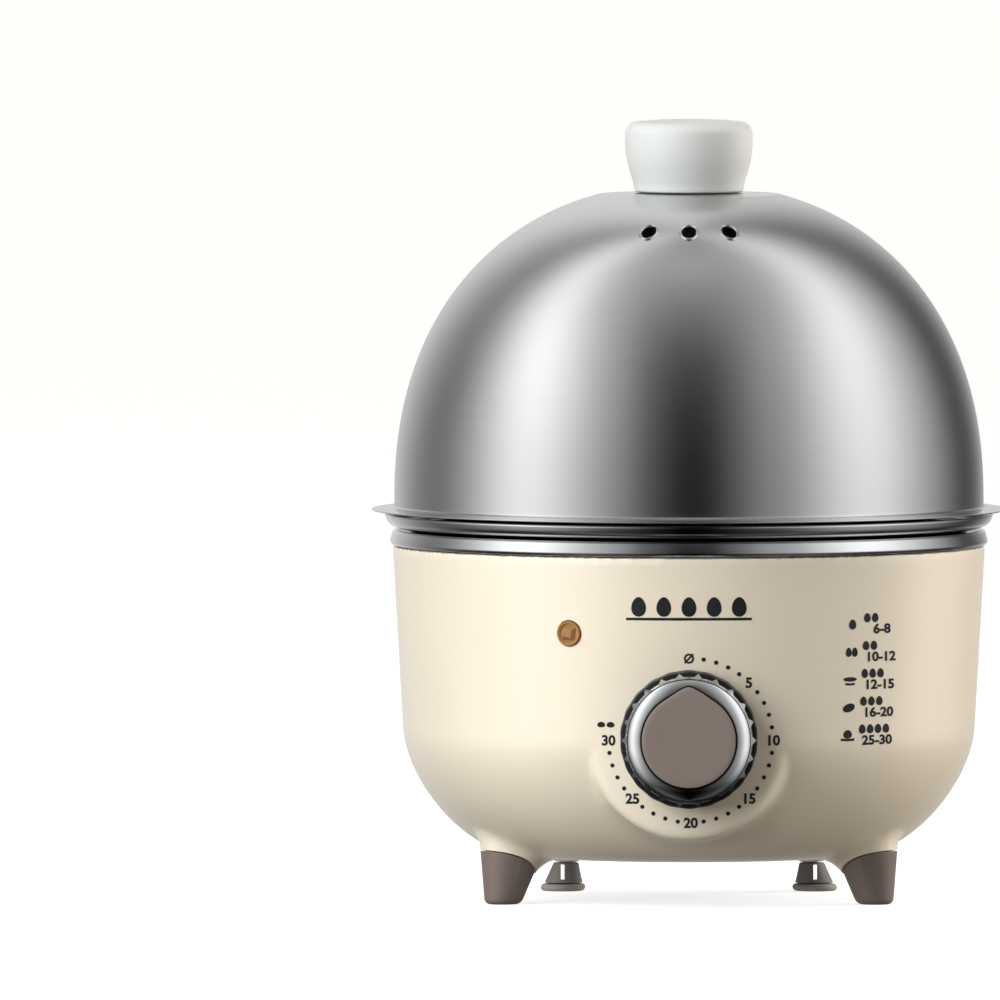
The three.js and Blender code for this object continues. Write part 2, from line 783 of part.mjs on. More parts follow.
// The cam's notch lets the moving contact drop open at zero.
function timerCam() {
  const low = timer.back + 3.5;
  const wheel = bar(timer.camRadius, low, low + timer.camThickness, { sides: 24 });
  const disc = cut(wheel, bar(timer.shaftRadius + gap, low - 1, low + 4));
  return cut(disc, block([-3.4, -12, low - 1], [3.4, -9, low + 4]));
}

const springBarrel = () =>
  cut(
    bar(timer.barrelRadius, timer.front - 8, timer.front - 2, { sides: 24 }),
    bar(timer.shaftRadius + gap, -20, -5),
  );

inDial("timer_housing", timerHousing(), whitePlastic);
inDial("timer_back_cover", timerBack(), blackPlastic);
inDial("timer_mounting_plate", timerPlate(), dullSteel);
inDial("timer_shaft", timerShaft(), whitePlastic);
inDial("timer_cam", timerCam(), whitePlastic);
inDial("timer_spring_barrel", springBarrel(), brass);
inDial("timer_contact_moving", timerContact(-1, contact.moving), brass);
inDial("timer_contact_fixed", timerContact(1, contact.fixed), brass);
for (const [name, side] of [["left", -1], ["right", 1]]) {
  const x = side * timer.screwX;
  const head = bar(timer.screwHead, -1.6, 0.2, { x });
  const shank = bar(timer.screwRadius, timer.front + 0.5, -1, { x });
  inDial(`timer_screw_${name}`, join(head, shank), dullSteel);
}

// ---- Dial knob: ribbed skirt, chrome bezel and pointer cap ----

function circleOutline(radiusAt, count) {
  return new THREE.Shape(
    range(count).map((i) => {
      const angle = (2 * Math.PI * i) / count;
      const r = radiusAt(angle);
      return new THREE.Vector2(r * Math.sin(angle), r * Math.cos(angle));
    }),
  );
}

// Radius of the cap's edge, a circle drawn out to a rounded point at the top.
function capEdge(angle) {
  const side = Math.min(angle, 2 * Math.PI - angle);
  const peak = (knob.tip - knob.capRadius) * Math.max(0, 1 - side / knob.tipAngle) ** 1.4;
  return knob.capRadius + peak;
}

function knobSkirt() {
  const half = knob.ribDepth / 2;
  const ribbed = (angle) => knob.radius - half + half * Math.cos(knob.ribs * angle);
  const wheel = raised(circleOutline(ribbed, knob.ribs * 2), knob.back, knob.skirtFront);
  const behind = bar(knob.hollowRadius, 0, knob.hollowDepth, { sides: 24 });
  const hollow = cut(behind, bar(knob.hubRadius, -1, knob.hollowDepth + 0.5));
  const bore = cut(bar(knob.boreRadius, -1, 10, { sides: 20 }), block([-4, knob.flat, -2], [4, 5, 11]));
  return cut(wheel, hollow, bore);
}

function knobBezel() {
  const hoop = turned(
    [
      [0, knob.seat],
      [17.6, knob.seat],
      [knob.bezelRadius, 10.6],
      [17.9, 12.6],
      [16.4, 14],
      [14.8, 14],
      [13.2, 12.6],
      [0, 12.6],
    ],
    roundSides,
  );
  return cut(hoop, raised(circleOutline((a) => capEdge(a) + gap, 40), 8, 16));
}

inDial("knob_skirt", knobSkirt(), blackPlastic);
inDial("knob_bezel", knobBezel(), chrome);
inDial("knob_cap", raised(circleOutline(capEdge, 40), knob.seat, knob.front), brownPlastic);

// ---- Indicator lamp ----

const lens = turned(
  [
    [0, -5],
    [2.4, -5],
    [2.4, -3.6],
    [lamp.radius, -2.6],
    [lamp.radius, 0.4],
    [2.6, 1.2],
    [0, 1.5],
  ],
  24,
);
const neon = turned([[0, -15], [2.3, -15], [2.3, -7], [1.2, -5.4], [0, -5.4]], 16);
add("lamp_lens", atLamp(lens), amberLens);
add("lamp_clip", atLamp(ring(2.7, 5, -5, -3.9, 24)), whitePlastic);
add("neon_lamp", atLamp(neon), glass);

// ---- Cord gland, terminal block and wiring ----

function cordGland() {
  const g = gland;
  const behindWall = -body.wall - 1.6;
  const outline = closed([
    [g.boreRadius, -6.4],
    [6.6, -6.4],
    [6.6, behindWall],
    [g.neckRadius, behindWall],
    [g.neckRadius, 0.5],
    [g.flangeRadius, 0.5],
    [g.flangeRadius - 0.4, 2.4],
    [5.6, 4.6],
    [g.boreRadius, 4.6],
  ]);
  return atGland(turned(outline, 24));
}

function terminalBlock() {
  const { front, back, halfWidth, low, high, pitch } = terminals;
  const wells = [-pitch, 0, pitch].map((x) => bar(2.4, high - 4, high + 1, { x, y: (front + back) / 2 }));
  return cut(block([-halfWidth, front, low], [halfWidth, back, high]), ...wells);
}

add("cord_gland", cordGland(), blackPlastic);
add("terminal_block", terminalBlock(), whitePlastic);

const [heaterX, heaterY] = onRing(heater.ring, 90 - heater.gapAngle);
const heaterTabZ = heater.endZ - heater.bush - heater.tab - 2 * gap - wire.end;
const terminalY = terminals.front - wire.end;
const timerTabY = -dial.face + contact.tabEnd + wire.end;
const bladeX = thermostatPart.bladeX;
const bladeZ = thermostatPart.bladeTip - wire.end;
const fuseEnds = [-1, 1].map((side) => fuse.y + side * (fuse.halfLength + wire.end));
const earthZ = shield.z - gap - earth.drop - wire.end;
const earthEnd = [(earth.x[0] + earth.x[1]) / 2, earth.y + earth.thickness / 2];

// Each wire's colour, then its route.
const wires = {
  wire_live: [
    brownWire,
    [[-10, terminalY, 23], [-13, 34, 21], [-13, 8, 22], [-9, -28, 26], [-8, -42, 33], [-8, timerTabY, 37.1]],
  ],
  wire_neutral: [
    blueWire,
    [[10, terminalY, 23], [11, 37.5, 23], [heaterX, heaterY, 30], [heaterX, heaterY, heaterTabZ]],
  ],
  wire_timer_load: [
    redWire,
    [[8, timerTabY, 35.1], [9, -40, 34], [11, -20, 36], [7, -3, 42], [bladeX, 0, 48], [bladeX, 0, bladeZ]],
  ],
  wire_fuse_in: [
    redWire,
    [[-bladeX, 0, bladeZ], [-8, 0, 47], [-13, 1, 49], [fuse.x, 4, 55], [fuse.x, fuseEnds[0], fuseZ]],
  ],
  wire_fuse_out: [
    redWire,
    [
      [fuse.x, fuseEnds[1], fuseZ],
      [fuse.x, 26, 54],
      [-13, 29, 45],
      [-14, 33, 36],
      [-heaterX, heaterY, 34],
      [-heaterX, heaterY, heaterTabZ],
    ],
  ],
  wire_earth: [
    greenWire,
    [
      [0, terminalY, 23],
      [0, 38, 24],
      [2, 38, 34],
      [...earthEnd, 44],
      [...earthEnd, earthZ],
    ],
  ],
};
for (const [name, [material, route]] of Object.entries(wires))
  add(name, tube(route, wire.radius, { sides: 6, steps: 12 }), material);

export default cooker;
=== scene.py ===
import json
import math

import bmesh
import bpy
import numpy as np
from mathutils import Matrix, Vector


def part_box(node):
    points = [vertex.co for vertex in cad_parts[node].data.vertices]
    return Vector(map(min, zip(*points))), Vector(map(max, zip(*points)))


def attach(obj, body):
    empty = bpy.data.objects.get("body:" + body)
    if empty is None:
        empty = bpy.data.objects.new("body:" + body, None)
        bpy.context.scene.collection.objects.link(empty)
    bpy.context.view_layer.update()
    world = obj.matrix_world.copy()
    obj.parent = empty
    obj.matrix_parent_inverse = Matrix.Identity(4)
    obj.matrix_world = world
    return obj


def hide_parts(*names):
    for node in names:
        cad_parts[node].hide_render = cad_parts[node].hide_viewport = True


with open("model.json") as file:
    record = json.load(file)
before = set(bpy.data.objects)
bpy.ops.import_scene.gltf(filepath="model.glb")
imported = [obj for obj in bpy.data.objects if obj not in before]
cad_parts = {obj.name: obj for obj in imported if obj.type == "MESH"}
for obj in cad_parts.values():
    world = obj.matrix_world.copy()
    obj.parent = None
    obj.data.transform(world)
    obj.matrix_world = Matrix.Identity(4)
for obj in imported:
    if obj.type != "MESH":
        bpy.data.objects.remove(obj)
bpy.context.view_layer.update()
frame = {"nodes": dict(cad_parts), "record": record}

mm = 0.001  # pieces are drawn in millimetres round the upright axis, then moved into the frame
scene = bpy.context.scene
record = frame["record"]
bodyOf = {node: body for body, nodes in record["behaviour"]["bodies"].items() for node in nodes}
slotOf = {row["node"]: row["material_slot"] for row in record["subparts"]}
axisY = sum(corner[1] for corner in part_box("lid_dome")) / 2 / mm


def lowest(node):
    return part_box(node)[0][2] / mm


def highest(node):
    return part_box(node)[1][2] / mm


def widest(node):
    low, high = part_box(node)
    return (high[0] - low[0]) / 2 / mm


def middle(node):
    x, y, z = ((a + b) / 2 / mm for a, b in zip(*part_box(node)))
    return Vector((x, y - axisY, z))


# ---- camera, light and floor ----

studio = {
    "distance": 12.0,  # far off, through a long lens
    "elevation": 2.5,
    "lens": 1543,
    "aimX": -0.0529,  # the cooker stands right of the middle
    "aimZ": 0.1119,
    "floorRadius": 9.0,
    "floorGlow": 0.78,
    "overhead": 0.56,  # brightness straight up
    # brightness round the room by direction: 0 is the camera's side, 90 is its right hand
    "room": [(-180, 0.75), (-156, 0.62), (-118, 0.2), (-92, 0.62), (-68, 1.3), (-44, 0.72), (-22, 0.22),
             (-8, 0.04), (3, 0.012), (12, 0.05), (26, 0.24), (46, 0.52), (72, 1.12), (94, 0.8), (124, 0.2),
             (150, 0.16), (180, 0.75)],
    "lean": 0.46,  # how far the two light banks curl back over the top
    "leanPower": 2.1,  # the curl keeps to the upper part
    "swell": 0.35,  # how much brighter the banks are higher up
    "overheadPower": 2.7,  # keeps the overhead light near straight up
    "fadeFrom": -0.2,  # directions below this go dark
    "fadeTo": -0.75,
    "fadeLeft": 0.08,
    "backdrop": 1.05,  # what the camera sees behind the object
    "onMatt": 0.64,  # how much of the room's light falls on matt surfaces
    "warmth": (1.0, 0.95, 0.86),  # matt surfaces see a warmer room than bare metal
    "bounce": 0.33,  # what matt surfaces get back from the floor
    "lampAim": 0.1,
    "key": {"azimuth": -46, "height": 0.45, "away": 1.3, "size": 1.5, "power": 28.0,
            "colour": (0.91, 0.96, 1.0)},
    "edge": {"azimuth": 112, "height": 0.15, "away": 1.3, "size": 0.9, "power": 24.0,
             "colour": (1.0, 0.98, 0.95)},
    "top": {"azimuth": -20, "height": 1.5, "away": 0.3, "size": 1.2, "power": 5.0,
            "colour": (1.0, 1.0, 1.0)},
}


def addNode(tree, kind, **values):
    node = tree.nodes.new(kind)
    for key, value in values.items():
        setattr(node, key, value)
    return node


def feed(tree, value, socket):  # value is another node's output, or a fixed value
    if hasattr(value, "is_output"):
        tree.links.new(value, socket)
    else:
        socket.default_value = value


def mathNode(tree, operation, first, second):
    node = addNode(tree, "ShaderNodeMath", operation=operation)
    for socket, value in zip(node.inputs, (first, second)):
        feed(tree, value, socket)
    return node.outputs[0]


def remap(tree, value, low, high, toLow=0.0, toHigh=1.0):
    node = addNode(tree, "ShaderNodeMapRange")
    feed(tree, value, node.inputs["Value"])
    for label, number in (("From Min", low), ("From Max", high), ("To Min", toLow), ("To Max", toHigh)):
        feed(tree, number, node.inputs[label])
    return node.outputs[0]


def blendColour(tree, mask, first, second):
    mix = addNode(tree, "ShaderNodeMix", data_type="RGBA")
    tree.links.new(mask, mix.inputs["Factor"])
    for label, value in (("A", first), ("B", second)):
        feed(tree, value if hasattr(value, "is_output") else tuple(value) + (1,), mix.inputs[label])
    return mix.outputs["Result"]


def makeCamera():
    data = bpy.data.cameras.new("camera")
    data.sensor_width = 36
    data.lens = studio["lens"]
    camera = bpy.data.objects.new("camera", data)
    scene.collection.objects.link(camera)
    tilt = math.radians(studio["elevation"])
    aim = Vector((studio["aimX"], axisY * mm, studio["aimZ"]))
    back = Vector((0, -math.cos(tilt), math.sin(tilt)))
    camera.location = Vector((0, axisY * mm, studio["aimZ"])) + studio["distance"] * back
    camera.rotation_mode = "QUATERNION"
    camera.rotation_quaternion = (aim - camera.location).to_track_quat("-Z", "Y")
    scene.camera = camera


def makeRoom():
    world = bpy.data.worlds.new("room")
    scene.world = world
    world.use_nodes = True
    tree = world.node_tree
    tree.nodes.clear()
    link = tree.links.new
    place = addNode(tree, "ShaderNodeTexCoord")
    parts = addNode(tree, "ShaderNodeSeparateXYZ")
    link(place.outputs["Generated"], parts.inputs[0])
    above = mathNode(tree, "MAXIMUM", parts.outputs["Z"], 0.0)
    curl = mathNode(tree, "MULTIPLY", mathNode(tree, "POWER", above, studio["leanPower"]), studio["lean"])
    towards = mathNode(tree, "SUBTRACT", curl, parts.outputs["Y"])
    around = mathNode(tree, "ARCTAN2", parts.outputs["X"], towards)
    ramp = addNode(tree, "ShaderNodeValToRGB")
    ramp.color_ramp.interpolation = "CARDINAL"
    stops = ramp.color_ramp.elements
    while len(stops) < len(studio["room"]):
        stops.new(0.5)
    for stop, (azimuth, level) in zip(stops, studio["room"]):
        stop.position = (azimuth + 180) / 360
    for stop, (azimuth, level) in zip(stops, studio["room"]):
        stop.color = (level / 2, level / 2, level / 2, 1)
    link(remap(tree, around, -math.pi, math.pi), ramp.inputs[0])
    swollen = remap(tree, above, 0.0, 0.7, 2.0, 2.0 * (1 + studio["swell"]))
    shaded = remap(tree, parts.outputs["Z"], studio["fadeFrom"], studio["fadeTo"], 1.0, studio["fadeLeft"])
    walls = addNode(tree, "ShaderNodeVectorMath", operation="SCALE")
    link(ramp.outputs["Color"], walls.inputs[0])
    link(mathNode(tree, "MULTIPLY", swollen, shaded), walls.inputs["Scale"])
    height = mathNode(tree, "MULTIPLY", mathNode(tree, "ARCSINE", above, 0.0), 2 / math.pi)
    upward = mathNode(tree, "POWER", height, studio["overheadPower"])
    mix = addNode(tree, "ShaderNodeMix", data_type="RGBA")
    mix.inputs["B"].default_value = (studio["overhead"],) * 3 + (1,)
    lit = addNode(tree, "ShaderNodeBackground")
    white = addNode(tree, "ShaderNodeBackground")
    white.inputs["Color"].default_value = (1, 1, 1, 1)
    white.inputs["Strength"].default_value = studio["backdrop"]
    ray = addNode(tree, "ShaderNodeLightPath")
    seen = addNode(tree, "ShaderNodeMixShader")
    out = addNode(tree, "ShaderNodeOutputWorld")
    link(upward, mix.inputs["Factor"])
    link(walls.outputs[0], mix.inputs["A"])
    low = remap(tree, parts.outputs["Z"], -0.05, -0.6)
    below = mathNode(tree, "MULTIPLY", low, ray.outputs["Is Diffuse Ray"])
    paper = (studio["bounce"] / studio["onMatt"],) * 3
    warm = addNode(tree, "ShaderNodeMix", data_type="RGBA", blend_type="MULTIPLY")
    warm.inputs["B"].default_value = studio["warmth"] + (1,)
    link(ray.outputs["Is Diffuse Ray"], warm.inputs["Factor"])
    link(blendColour(tree, below, mix.outputs["Result"], paper), warm.inputs["A"])
    link(warm.outputs["Result"], lit.inputs["Color"])
    link(remap(tree, ray.outputs["Is Diffuse Ray"], 0.0, 1.0, 1.0, studio["onMatt"]), lit.inputs["Strength"])
    link(ray.outputs["Is Camera Ray"], seen.inputs[0])
    link(lit.outputs[0], seen.inputs[1])
    link(white.outputs[0], seen.inputs[2])
    link(seen.outputs[0], out.inputs["Surface"])


def makeLights():
    aim = Vector((0, axisY * mm, studio["lampAim"]))
    for name in ("key", "edge", "top"):
        spec = studio[name]
        data = bpy.data.lights.new(name, "AREA")
        data.shape = "DISK"
        data.size = spec["size"]
        data.energy = spec["power"]
        data.color = spec["colour"]
        lamp = bpy.data.objects.new(name, data)
        scene.collection.objects.link(lamp)
        azimuth = math.radians(spec["azimuth"])
        out = Vector((math.sin(azimuth), -math.cos(azimuth), 0))
        lamp.location = aim + spec["away"] * out + Vector((0, 0, spec["height"]))
        lamp.rotation_mode = "QUATERNION"
        lamp.rotation_quaternion = (aim - lamp.location).to_track_quat("-Z", "Y")
        lamp.visible_glossy = False  # the room alone shows in the steel
        lamp.visible_camera = False


def makeFloor():
    mesh = bpy.data.meshes.new("floor")
    form = bmesh.new()
    bmesh.ops.create_circle(form, cap_ends=True, radius=studio["floorRadius"], segments=96)
    form.to_mesh(mesh)
    form.free()
    floor = bpy.data.objects.new("floor", mesh)
    scene.collection.objects.link(floor)
    material = bpy.data.materials.new("floor_paper")
    material.use_nodes = True
    shader = material.node_tree.nodes["Principled BSDF"]
    shader.inputs["Base Color"].default_value = (0.5, 0.5, 0.497, 1)
    shader.inputs["Roughness"].default_value = 0.9
    shader.inputs["Specular IOR Level"].default_value = 0
    shader.inputs["Emission Color"].default_value = (1, 1, 0.995, 1)
    shader.inputs["Emission Strength"].default_value = studio["floorGlow"]
    floor.data.materials.append(material)
    floor.visible_glossy = floor.visible_diffuse = False


makeCamera()
makeRoom()
makeLights()
makeFloor()
scene.view_settings.view_transform = "Standard"
print("studio ready")

# ---- shader groups that the finishes share ----


def newGroup(name, inputs, outputs):
    tree = bpy.data.node_groups.new(name, "ShaderNodeTree")
    for label, kind, value in inputs:
        socket = tree.interface.new_socket(name=label, in_out="INPUT", socket_type=kind)
        socket.default_value = value
    for label, kind in outputs:
        tree.interface.new_socket(name=label, in_out="OUTPUT", socket_type=kind)
    return tree, tree.nodes.new("NodeGroupInput"), tree.nodes.new("NodeGroupOutput")


def noise(tree, vector, scale, detail=3.0, roughness=0.55):
    node = addNode(tree, "ShaderNodeTexNoise")
    node.inputs["Detail"].default_value = detail
    node.inputs["Roughness"].default_value = roughness
    tree.links.new(vector, node.inputs["Vector"])
    feed(tree, scale, node.inputs["Scale"])
    return node.outputs[0]


def makeSpunGrain():  # fine lines left round the axis by the polishing wheel
    tree, given, made = newGroup(
        "spunGrain",
        [("Lines", "NodeSocketFloat", 5000.0), ("Patches", "NodeSocketFloat", 30.0)],
        [("Height", "NodeSocketFloat"), ("Tone", "NodeSocketFloat")],
    )
    place = addNode(tree, "ShaderNodeTexCoord")
    centred = addNode(tree, "ShaderNodeVectorMath", operation="SUBTRACT")
    centred.inputs[1].default_value = (0, axisY * mm, 0)
    tree.links.new(place.outputs["Object"], centred.inputs[0])
    parts = addNode(tree, "ShaderNodeSeparateXYZ")
    tree.links.new(centred.outputs[0], parts.inputs[0])
    flat = addNode(tree, "ShaderNodeCombineXYZ")
    tree.links.new(parts.outputs["X"], flat.inputs["X"])
    tree.links.new(parts.outputs["Y"], flat.inputs["Y"])
    radius = addNode(tree, "ShaderNodeVectorMath", operation="LENGTH")
    tree.links.new(flat.outputs[0], radius.inputs[0])
    angle = mathNode(tree, "ARCTAN2", parts.outputs["Y"], parts.outputs["X"])
    along = addNode(tree, "ShaderNodeCombineXYZ")
    tree.links.new(radius.outputs["Value"], along.inputs["X"])
    tree.links.new(parts.outputs["Z"], along.inputs["Y"])
    tree.links.new(mathNode(tree, "MULTIPLY", angle, 0.0006), along.inputs["Z"])
    lines = noise(tree, along.outputs[0], given.outputs["Lines"], 2.0)
    patches = noise(tree, centred.outputs[0], given.outputs["Patches"], 3.0)
    tree.links.new(lines, made.inputs["Height"])
    both = mathNode(tree, "ADD", mathNode(tree, "MULTIPLY", lines, 0.45),
                    mathNode(tree, "MULTIPLY", patches, 0.55))
    tree.links.new(both, made.inputs["Tone"])
    return tree


def makeMouldSkin():  # the fine pitted skin that a spark-eroded mould leaves on plastic
    tree, given, made = newGroup(
        "mouldSkin",
        [("Grain", "NodeSocketFloat", 2500.0), ("Flow", "NodeSocketFloat", 18.0)],
        [("Height", "NodeSocketFloat"), ("Tone", "NodeSocketFloat")],
    )
    place = addNode(tree, "ShaderNodeTexCoord")
    grain = noise(tree, place.outputs["Object"], given.outputs["Grain"], 2.0, 0.6)
    flow = noise(tree, place.outputs["Object"], given.outputs["Flow"], 2.0, 0.5)
    tree.links.new(grain, made.inputs["Height"])
    both = mathNode(tree, "ADD", mathNode(tree, "MULTIPLY", grain, 0.3),
                    mathNode(tree, "MULTIPLY", flow, 0.7))
    tree.links.new(both, made.inputs["Tone"])
    return tree


def makeEdgeWear():  # 1 on outer edges that hands and cloths rub
    tree, given, made = newGroup(
        "edgeWear",
        [("Reach", "NodeSocketFloat", 0.56), ("Breakup", "NodeSocketFloat", 160.0)],
        [("Mask", "NodeSocketFloat")],
    )
    shape = addNode(tree, "ShaderNodeNewGeometry")
    place = addNode(tree, "ShaderNodeTexCoord")
    edge = remap(tree, shape.outputs["Pointiness"], 0.51, given.outputs["Reach"])
    broken = remap(tree, noise(tree, place.outputs["Object"], given.outputs["Breakup"]), 0.35, 0.65, 0.3, 1.0)
    tree.links.new(mathNode(tree, "MULTIPLY", edge, broken), made.inputs["Mask"])
    return tree


def makeDust():  # settles on faces that look up, unevenly
    tree, given, made = newGroup(
        "dust",
        [("Amount", "NodeSocketFloat", 0.1), ("Clumps", "NodeSocketFloat", 90.0)],
        [("Mask", "NodeSocketFloat")],
    )
    shape = addNode(tree, "ShaderNodeNewGeometry")
    place = addNode(tree, "ShaderNodeTexCoord")
    parts = addNode(tree, "ShaderNodeSeparateXYZ")
    tree.links.new(shape.outputs["Normal"], parts.inputs[0])
    facing = remap(tree, parts.outputs["Z"], 0.3, 1.0)
    clumps = remap(tree, noise(tree, place.outputs["Object"], given.outputs["Clumps"], 5.0), 0.4, 0.7)
    mask = mathNode(tree, "MULTIPLY", mathNode(tree, "MULTIPLY", facing, clumps), given.outputs["Amount"])
    tree.links.new(mask, made.inputs["Mask"])
    return tree


def makeHandling():  # soft cloudy marks from fingers and wiping
    tree, given, made = newGroup(
        "handling",
        [("Size", "NodeSocketFloat", 26.0)],
        [("Mask", "NodeSocketFloat")],
    )
    place = addNode(tree, "ShaderNodeTexCoord")
    cloud = noise(tree, place.outputs["Object"], given.outputs["Size"], 4.0, 0.62)
    tree.links.new(remap(tree, cloud, 0.42, 0.68), made.inputs["Mask"])
    return tree


shared = {
    "spunGrain": makeSpunGrain(),
    "mouldSkin": makeMouldSkin(),
    "edgeWear": makeEdgeWear(),
    "dust": makeDust(),
    "handling": makeHandling(),
}
print("shader groups ready")

# ---- finishes, one for each slot ----


def useGroup(tree, name, **values):
    node = tree.nodes.new("ShaderNodeGroup")
    node.node_tree = shared[name]
    for label, value in values.items():
        node.inputs[label].default_value = value
    return node


def startFinish(slot):
    material = bpy.data.materials.new(slot)
    material.use_nodes = True
    return material, material.node_tree, material.node_tree.nodes["Principled BSDF"]


def addBump(tree, shader, height, depth, strength):
    bump = addNode(tree, "ShaderNodeBump")
    bump.inputs["Strength"].default_value = strength
    bump.inputs["Distance"].default_value = depth
    tree.links.new(height, bump.inputs["Height"])
    tree.links.new(bump.outputs[0], shader.inputs["Normal"])


steelLook = {  # roughness range, polishing lines per metre
    "dome_steel": {"colour": (0.66, 0.665, 0.67), "rough": (0.2, 0.235), "lines": 5200, "bump": 0.05,
                   "brushed": 0.15},
    "pan_steel": {"colour": (0.74, 0.75, 0.76), "rough": (0.11, 0.15), "lines": 4200, "bump": 0.04,
                  "brushed": 0.1},
    "tray_steel": {"colour": (0.76, 0.765, 0.77), "rough": (0.1, 0.14), "lines": 4200, "bump": 0.04,
                   "brushed": 0.1},
    "screw_steel": {"colour": (0.52, 0.52, 0.53), "rough": (0.3, 0.42), "lines": 9000, "bump": 0.15},
    "shield_steel": {"colour": (0.5, 0.5, 0.5), "rough": (0.38, 0.52), "lines": 3000, "bump": 0.2},
    "plate_aluminium": {"colour": (0.6, 0.61, 0.62), "rough": (0.4, 0.55), "lines": 2200, "bump": 0.3},
    "brass": {"colour": (0.68, 0.5, 0.24), "rough": (0.28, 0.4), "lines": 6000, "bump": 0.15},
    "knob_chrome": {"colour": (0.72, 0.73, 0.74), "rough": (0.09, 0.15), "lines": 7000, "bump": 0.04},
}


def steelFinish(slot):
    look = steelLook[slot]
    material, tree, shader = startFinish(slot)
    grain = useGroup(tree, "spunGrain", Lines=look["lines"], Patches=34)
    marks = useGroup(tree, "handling", Size=22)
    dust = useGroup(tree, "dust", Amount=0.04, Clumps=120)
    low, high = look["rough"]
    rough = remap(tree, grain.outputs["Tone"], 0.3, 0.7, low, high)
    smeared = mathNode(tree, "MULTIPLY", marks.outputs["Mask"], 0.025)
    tree.links.new(mathNode(tree, "ADD", rough, smeared), shader.inputs["Roughness"])
    darker = [channel * 0.95 for channel in look["colour"]]
    tone = remap(tree, grain.outputs["Tone"], 0.35, 0.65)
    metal = blendColour(tree, tone, darker, look["colour"])
    dusty = blendColour(tree, dust.outputs["Mask"], metal, (0.7, 0.69, 0.66))
    tree.links.new(dusty, shader.inputs["Base Color"])
    shader.inputs["Metallic"].default_value = 1
    shader.inputs["Anisotropic"].default_value = look.get("brushed", 0)
    addBump(tree, shader, grain.outputs["Height"], 0.00002, look["bump"])
    return material


plasticLook = {  # worn is a rubbed edge's colour, grain is per metre
    "body_plastic": {"colour": (0.785, 0.685, 0.54), "worn": (0.85, 0.76, 0.63), "rough": (0.34, 0.4),
                     "grain": 1500, "bump": 0.05, "coat": 1.0},
    "lid_knob_plastic": {"colour": (0.6, 0.6, 0.575), "worn": (0.77, 0.765, 0.74), "rough": (0.42, 0.5),
                         "grain": 2200, "bump": 0.12},
    "foot_plastic": {"colour": (0.165, 0.125, 0.107), "worn": (0.25, 0.2, 0.17), "rough": (0.42, 0.52),
                     "grain": 2400, "bump": 0.2},
    "rear_foot_plastic": {"colour": (0.175, 0.16, 0.148), "worn": (0.26, 0.24, 0.22), "rough": (0.5, 0.6),
                          "grain": 2400, "bump": 0.2},
    "pad_rubber": {"colour": (0.32, 0.285, 0.26), "worn": (0.4, 0.37, 0.34), "rough": (0.7, 0.85),
                   "grain": 1800, "bump": 0.35},
    "knob_black": {"colour": (0.012, 0.012, 0.014), "worn": (0.05, 0.05, 0.052), "rough": (0.3, 0.4),
                   "grain": 3000, "bump": 0.15, "shine": 0.16},
    "knob_brown": {"colour": (0.215, 0.17, 0.145), "worn": (0.31, 0.26, 0.23), "rough": (0.4, 0.48),
                   "grain": 2600, "bump": 0.14},
    "black_plastic": {"colour": (0.02, 0.02, 0.022), "worn": (0.06, 0.06, 0.06), "rough": (0.45, 0.58),
                      "grain": 1600, "bump": 0.3},
    "white_plastic": {"colour": (0.76, 0.75, 0.7), "worn": (0.8, 0.79, 0.75), "rough": (0.45, 0.55),
                      "grain": 1800, "bump": 0.2},
    "ceramic_white": {"colour": (0.8, 0.78, 0.72), "worn": (0.84, 0.82, 0.78), "rough": (0.55, 0.7),
                      "grain": 1200, "bump": 0.4},
    "gasket_silicone": {"colour": (0.62, 0.61, 0.58), "worn": (0.66, 0.65, 0.62), "rough": (0.55, 0.65),
                        "grain": 1500, "bump": 0.2},
}
wireColours = {
    "wire_brown": {"colour": (0.1, 0.045, 0.022), "worn": (0.14, 0.07, 0.04)},
    "wire_blue": {"colour": (0.02, 0.075, 0.25), "worn": (0.05, 0.11, 0.3)},
    "wire_red": {"colour": (0.32, 0.025, 0.016), "worn": (0.4, 0.06, 0.05)},
    "wire_green": {"colour": (0.07, 0.25, 0.045), "worn": (0.12, 0.32, 0.08)},
}
for slot, colours in wireColours.items():
    plasticLook[slot] = {**colours, "rough": (0.4, 0.5), "grain": 1200, "bump": 0.2}


def plasticFinish(slot):
    look = plasticLook[slot]
    material, tree, shader = startFinish(slot)
    skin = useGroup(tree, "mouldSkin", Grain=look["grain"], Flow=16)
    wear = useGroup(tree, "edgeWear", Reach=0.6, Breakup=150)
    dust = useGroup(tree, "dust", Amount=0.05, Clumps=110)
    marks = useGroup(tree, "handling", Size=24)
    deeper = [channel * 0.965 for channel in look["colour"]]
    plastic = blendColour(tree, remap(tree, skin.outputs["Tone"], 0.35, 0.65), deeper, look["colour"])
    rubbed = mathNode(tree, "MULTIPLY", wear.outputs["Mask"], 0.35)
    worn = blendColour(tree, rubbed, plastic, look["worn"])
    dusty = blendColour(tree, dust.outputs["Mask"], worn, (0.66, 0.64, 0.6))
    tree.links.new(dusty, shader.inputs["Base Color"])
    low, high = look["rough"]
    rough = remap(tree, skin.outputs["Tone"], 0.3, 0.7, low, high)
    smeared = mathNode(tree, "MULTIPLY", marks.outputs["Mask"], 0.03)
    tree.links.new(mathNode(tree, "ADD", rough, smeared), shader.inputs["Roughness"])
    shader.inputs["Specular IOR Level"].default_value = look.get("shine", 0.5)
    shader.inputs["Coat Weight"].default_value = look.get("coat", 0)
    shader.inputs["Coat Roughness"].default_value = 0.3
    shader.inputs["Coat IOR"].default_value = 1.6
    addBump(tree, shader, skin.outputs["Height"], 0.00004, look["bump"])
    return material


